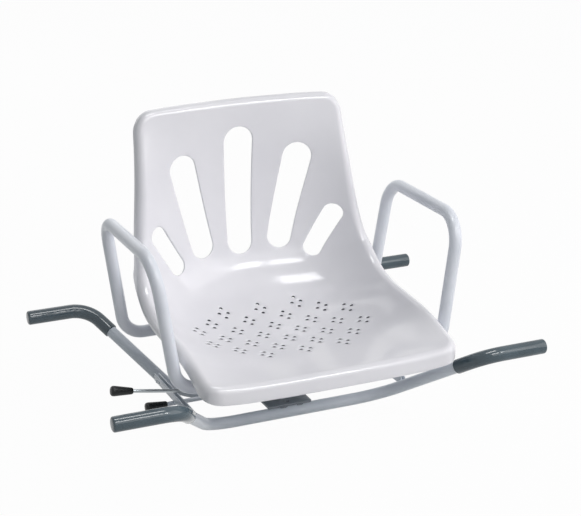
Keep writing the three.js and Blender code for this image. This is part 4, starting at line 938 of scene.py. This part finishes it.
def hex_bolt(node, place, sizes, head_up=True):
    """A six-sided head with a turned-off rim and a plain shank, between the heights of its node."""
    height, radius, shank_radius = sizes
    low, high = heights(node)
    flat = radius * math.cos(math.pi / 6)
    rims = [[], [], []]
    for i in range(HEAD_SIDES):
        angle = 2 * math.pi * i / HEAD_SIDES
        reach = flat / math.cos(angle % (math.pi / 3) - math.pi / 6)
        x, y = math.cos(angle - math.pi / 3), math.sin(angle - math.pi / 3)
        crown = height - CROWN_SLOPE * max(reach - CROWN_FROM_SHARE * flat, 0)
        rims[0].append((reach * x, reach * y, 0))
        rims[1].append((reach * x, reach * y, crown))
        rims[2].append((CROWN_FLAT_SHARE * flat * x, CROWN_FLAT_SHARE * flat * y, height))
    head = (rims[0] + rims[1] + rims[2], ring_strip(3, HEAD_SIDES))
    length = high - low - height
    shank = [(0, -length), (shank_radius, -length), (shank_radius, SHANK_OVERLAP), (0, SHANK_OVERLAP)]
    bolt = joined(head, turned(shank, SHANK_ROUNDING, SHANK_SIDES))
    if head_up:
        return moved(bolt, Matrix.Translation((*place, high - height)))
    return moved(bolt, Matrix.Translation((*place, low + height)) @ Matrix.Rotation(math.pi, 4, "X"))


def corner_name(x, y):
    return ("front" if y < 0 else "rear") + "_" + ("left" if x < 0 else "right")


for kind, places, head_up, look, body in (
        ("post_screw", POST_SCREWS, True, DARK_STEEL, "base_frame"),
        ("arm_screw", ARM_SCREWS, False, BRIGHT_STEEL, "seat_swivel"),
        ("seat_screw", BOSS_PLACES, False, BRIGHT_STEEL, "seat_swivel")):
    for place in places:
        node = f"{kind}_{corner_name(*place)}"
        piece(f"{node}_made", hex_bolt(node, place, SCREW, head_up), look, body, node, SCREW_EDGE)
for node, place, sizes in (("retaining_bolt", (0, 0), RETAINING_BOLT),
                           ("brake_pivot_bolt", BRAKE_PIVOT, PIVOT_BOLT)):
    piece(f"{node}_made", hex_bolt(node, place, sizes), BRIGHT_STEEL, "base_frame", node, SCREW_EDGE)

# Lock lever's bracket: a foot with an upturned lip, and two cheeks with round tops for the pivot pin
LOCK_PIVOT = (-23, -24, 32.8)
CHEEK_X, CHEEK_TOP_RADIUS, CHEEK_THICKNESS, CHEEK_BEVEL = (-27.6, -18.4), 4.6, 2.5, 0.35
CHEEK_STARTS, CHEEK_HOLE = (-27.6, -17.9), 2.8
BRACKET_FOOT = rectangle(-36.6, -30.1, -18.4, -17.9)
BRACKET_LIP, BRACKET_LIP_TOP = rectangle(-36.6, -30.1, -33.6, -17.9), 31.3
BRACKET_CORNER_RADIUS, FOOT_BEVEL, LIP_BEVEL = 0.8, 0.4, 0.5
BRACKET_SEAM, BRACKET_SEAM_RADIUS = [(-36.8, -29), (-36.8, -19)], 1.2
low, high = heights("lock_lever_bracket")
cheek = [(x, low) for x in CHEEK_X]
cheek += [(LOCK_PIVOT[0] + CHEEK_TOP_RADIUS * math.cos(math.pi * k / 12),
           high - CHEEK_TOP_RADIUS + CHEEK_TOP_RADIUS * math.sin(math.pi * k / 12)) for k in range(13)]
pin_hole = circle(LOCK_PIVOT[0], LOCK_PIVOT[2], CHEEK_HOLE, 24)
cheeks = [moved(plate([cheek, pin_hole], 0, CHEEK_THICKNESS, CHEEK_BEVEL),
                Matrix.Translation((0, start, 0)) @ FACING_Y) for start in CHEEK_STARTS]
piece("lever_bracket", joined(
    plate([rounded(BRACKET_FOOT, BRACKET_CORNER_RADIUS, 3)], low, low + CHEEK_THICKNESS, FOOT_BEVEL),
    plate([rounded(BRACKET_LIP, BRACKET_CORNER_RADIUS, 3)], low, BRACKET_LIP_TOP, LIP_BEVEL),
    *cheeks, bead([(x, y, low) for x, y in BRACKET_SEAM], BRACKET_SEAM_RADIUS)),
    FRAME_COAT, "base_frame", "lock_lever_bracket", PLATE_EDGE)

# Lock lever: pivot pin, rod with its eye, and the lock pin that stands up from the rod
PIN_RADIUS, PIN_START_Y, PIN_LENGTH = 2.5, -32.6, 17.2
ROD_SLOPE, ROD_RADIUS, ROD_FOOT, ROD_END_X = 0.176, 3, 3.6, -285.5
EYE_BORE, EYE_RADIUS, EYE_HALF_WIDTH, EYE_ROUNDING = 2.8, 4.8, 3, 0.5
STEEL_ROUNDING = 0.6
LOCK_PIN_PLACE, LOCK_PIN_RADIUS, LOCK_PIN_ROUNDING = (-54, -24), 4, 0.4
LOCK_PIN_TIP, LOCK_PIN_TIP_RADIUS = 1, 3
ROD_ANGLE = math.atan(ROD_SLOPE)
ROD_WAY = (-math.cos(ROD_ANGLE), 0, math.sin(ROD_ANGLE))
ROD_LENGTH = (LOCK_PIVOT[0] - ROD_END_X) / math.cos(ROD_ANGLE)


def round_bar(low, high, radius, sides):
    return turned([(0, low), (radius, low), (radius, high), (0, high)], STEEL_ROUNDING, sides)


piece("lever_pivot_pin", moved(round_bar(0, PIN_LENGTH, PIN_RADIUS, 20),
                               toward((LOCK_PIVOT[0], PIN_START_Y, LOCK_PIVOT[2]), (0, 1, 0))),
      BRIGHT_STEEL, "base_frame", "lock_lever_pivot_pin", TURNED_EDGE)
eye = rectangle(EYE_BORE, -EYE_HALF_WIDTH, EYE_RADIUS, EYE_HALF_WIDTH)
piece("lock_rod", joined(moved(round_bar(ROD_FOOT, ROD_LENGTH, ROD_RADIUS, 24), toward(LOCK_PIVOT, ROD_WAY)),
                         moved(turned(eye, EYE_ROUNDING, 28, True), toward(LOCK_PIVOT, (0, 1, 0)))),
      BRIGHT_STEEL, "lock_lever", "lock_lever_rod", TURNED_EDGE)
low, high = heights("lock_pin")
pin = [(0, low), (LOCK_PIN_RADIUS, low), (LOCK_PIN_RADIUS, high - LOCK_PIN_TIP), (LOCK_PIN_TIP_RADIUS, high),
       (0, high)]
piece("lock_pin_made", moved(turned(pin, LOCK_PIN_ROUNDING, 24), Matrix.Translation((*LOCK_PIN_PLACE, 0))),
      BRIGHT_STEEL, "lock_lever", "lock_pin", TURNED_EDGE)

# Knobs, from shares of their radius and length
KNOB_RADIUS, KNOB_LENGTH = 8.6, 38
KNOB_SHARES = [
    (0, 0), (0.45, 0), (0.54, 0.008), (0.6, 0.025), (0.64, 0.055), (0.67, 0.1), (0.75, 0.28), (0.84, 0.48),
    (0.93, 0.68), (0.985, 0.8), (1, 0.85), (0.992, 0.885), (0.96, 0.918), (0.9, 0.945), (0.8, 0.968),
    (0.66, 0.984), (0.48, 0.993), (0.25, 0.999), (0, 1),
]
LOCK_KNOB_X, BRAKE_KNOB_X, BRAKE_KNOB_LIFT = -266.5, -199, 2.3


def knob(foot, direction):
    return moved(lathe([(r * KNOB_RADIUS, z * KNOB_LENGTH) for r, z in KNOB_SHARES]), toward(foot, direction))


knob_foot = (LOCK_KNOB_X, LOCK_PIVOT[1], LOCK_PIVOT[2] + ROD_SLOPE * (LOCK_PIVOT[0] - LOCK_KNOB_X))
piece("lock_knob", knob(knob_foot, ROD_WAY), KNOB_PLASTIC, "lock_lever", "lock_lever_knob", ROUND_EDGE)

# Brake lever: flat bar with an off-centre cam head
CAM_CENTRE, CAM_RADIUS, CAM_BORE = (-42.12, 2.69), 20, 4.3
BRAKE_BAR, BRAKE_BAR_THICKNESS, BRAKE_BAR_CORNER_RADIUS = rectangle(-218, 3.5, -56, 12.5), 4.6, 1
low, high = heights("brake_lever_bar")
cam = plate([circle(*CAM_CENTRE, CAM_RADIUS, 64), circle(*BRAKE_PIVOT, CAM_BORE, 24)], low, high, PLATE_BEVEL)
bar = plate([rounded(BRAKE_BAR, BRAKE_BAR_CORNER_RADIUS, 3)], low, low + BRAKE_BAR_THICKNESS, PLATE_BEVEL)
piece("brake_bar_and_cam", joined(cam, bar), FRAME_COAT, "brake_lever", "brake_lever_bar", PLATE_EDGE)
piece("brake_knob", knob((BRAKE_KNOB_X, BRAKE_PIVOT[1], low + BRAKE_KNOB_LIFT), (-1, 0, 0)), KNOB_PLASTIC,
      "brake_lever", "brake_lever_knob", ROUND_EDGE)

# Camera at the photograph's place: turned, tipped down and rolled a little
CAMERA_AT = (-974.1, -2360.2, 1112.6)
CAMERA_TURN, CAMERA_DIP, CAMERA_ROLL = [math.radians(angle) for angle in (22.922, 18.538, -0.83)]
CAMERA_LENS, CAMERA_SENSOR = 100.77, 36
CAMERA_NEAR_M, CAMERA_FAR_M = 0.05, 60
level_forward = Vector((math.sin(CAMERA_TURN), math.cos(CAMERA_TURN), 0))
forward = level_forward * math.cos(CAMERA_DIP) - Vector((0, 0, math.sin(CAMERA_DIP)))
level_right = Vector((math.cos(CAMERA_TURN), -math.sin(CAMERA_TURN), 0))
level_up = level_right.cross(forward)
right = level_right * math.cos(CAMERA_ROLL) + level_up * math.sin(CAMERA_ROLL)
up = level_up * math.cos(CAMERA_ROLL) - level_right * math.sin(CAMERA_ROLL)
camera = bpy.data.objects.new("camera", bpy.data.cameras.new("camera"))
bpy.context.scene.collection.objects.link(camera)
camera.data.sensor_width = CAMERA_SENSOR
camera.data.lens = CAMERA_LENS
camera.data.clip_start, camera.data.clip_end = CAMERA_NEAR_M, CAMERA_FAR_M
facing = Matrix((right, up, -forward)).transposed().to_4x4()
camera.matrix_world = Matrix.Translation(Vector(CAMERA_AT) * MM) @ facing
bpy.context.scene.camera = camera
bpy.context.scene.view_settings.view_transform = "Standard"

# Stage: a white floor that keeps a faint shadow, and a studio lighter on its right side. Lengths of the
# stage and the lamps are in metres.
FLOOR_HALF_M = 20
FLOOR_GREY, FLOOR_GLOW_SHARE = 0.66, 0.97
STUDIO_STOPS = ((0.1, (0.30, 0.34, 0.35, 1)), (0.85, (0.95, 0.94, 0.97, 1)))
STUDIO_STRENGTH = 0.5


def seen_directly(nodes, links):
    """1 where the eye, a reflection or a see-through surface meets it, and 0 for its light."""
    ray = add(nodes, "LightPath")
    total = ray.outputs["Is Camera Ray"]
    for kind in ("Is Glossy Ray", "Is Transmission Ray"):
        both = add(nodes, "Math")
        both.operation = "ADD"
        both.use_clamp = True
        links.new(total, both.inputs[0])
        links.new(ray.outputs[kind], both.inputs[1])
        total = both.outputs[0]
    return total


def mixed(nodes, links, share, plain, seen):
    mix = add(nodes, "MixShader")
    for source, target in zip((share, plain.outputs[0], seen.outputs[0]), mix.inputs):
        links.new(source, target)
    return mix.outputs[0]


def emptied(made):
    made.use_nodes = True
    made.node_tree.nodes.clear()
    return made.node_tree.nodes, made.node_tree.links


def floor_material():
    made = bpy.data.materials.new("white_floor")
    nodes, links = emptied(made)
    out = add(nodes, "OutputMaterial")
    matt = add(nodes, "BsdfDiffuse", Color=(FLOOR_GREY, FLOOR_GREY, FLOOR_GREY, 1))
    glow = add(nodes, "Emission", Strength=1.0)
    share = add(nodes, "Math")
    share.operation = "MULTIPLY"
    share.inputs[1].default_value = FLOOR_GLOW_SHARE
    links.new(seen_directly(nodes, links), share.inputs[0])
    links.new(mixed(nodes, links, share.outputs[0], matt, glow), out.inputs["Surface"])
    return made


def studio_world():
    """White to the eye. Its light comes mostly from the right."""
    made = bpy.data.worlds.new("studio")
    nodes, links = emptied(made)
    out = add(nodes, "OutputWorld")
    around = add(nodes, "Background", Strength=STUDIO_STRENGTH)
    white = add(nodes, "Background", Strength=1.0, Color=(1, 1, 1, 1))
    split = add(nodes, "SeparateXYZ")
    links.new(add(nodes, "TexCoord").outputs["Generated"], split.inputs[0])
    share = add(nodes, "MapRange", From_Min=-1)
    links.new(split.outputs["X"], share.inputs["Value"])
    ramp = add(nodes, "ValToRGB")
    for stop, (position, colour) in zip(ramp.color_ramp.elements, STUDIO_STOPS):
        stop.position, stop.color = position, colour
    links.new(share.outputs[0], ramp.inputs["Fac"])
    links.new(ramp.outputs["Color"], around.inputs["Color"])
    links.new(mixed(nodes, links, seen_directly(nodes, links), around, white), out.inputs["Surface"])
    return made


floor_mesh = bpy.data.meshes.new("floor")
corners = rectangle(-FLOOR_HALF_M, -FLOOR_HALF_M, FLOOR_HALF_M, FLOOR_HALF_M)
floor_mesh.from_pydata([(x, y, 0) for x, y in corners], [], [(0, 1, 2, 3)])
floor_mesh.materials.append(floor_material())
floor = bpy.data.objects.new("floor", floor_mesh)
bpy.context.scene.collection.objects.link(floor)
bpy.context.scene.world = studio_world()


def lamp(name, place, target, size, power, tint=(1, 1, 1), shine_only=False):
    """A soft box. One that only shines adds reflections and no light of its own."""
    data = bpy.data.lights.new(name, "AREA")
    data.shape = "RECTANGLE"
    data.size, data.size_y = size
    data.energy = power
    data.color = tint
    made = bpy.data.objects.new(name, data)
    bpy.context.scene.collection.objects.link(made)
    made.location = place
    made.rotation_euler = (Vector(target) - Vector(place)).to_track_quat("-Z", "Y").to_euler()
    made.visible_diffuse = not shine_only


lamp("key_right", (2.7, -1.7, 1.9), (0, 0, 0.25), (2.8, 2.8), 46, (1, 0.99, 0.98))
lamp("front_fill", (0.6, -2.8, 2.0), (0, 0, 0.2), (3.0, 2.0), 28)
lamp("top_soft", (0.6, -0.1, 2.6), (0, 0, 0.1), (2.5, 2.5), 7)
lamp("rear_fill", (-0.4, 3.0, 1.8), (0, 0, 0.2), (3.0, 2.0), 14)
lamp("shine_over", (0.0, -0.25, 1.75), (0.0, -0.2, 0.1), (0.76, 0.4), 9, shine_only=True)
lamp("shine_front", (0.0, -1.5, 1.6), (0.0, -0.25, 0.1), (0.8, 0.42), 9, shine_only=True)
lamp("shine_lip", (0.72, -1.5, 1.6), (0.72, -0.25, 0.1), (0.34, 0.42), 6.5, shine_only=True)
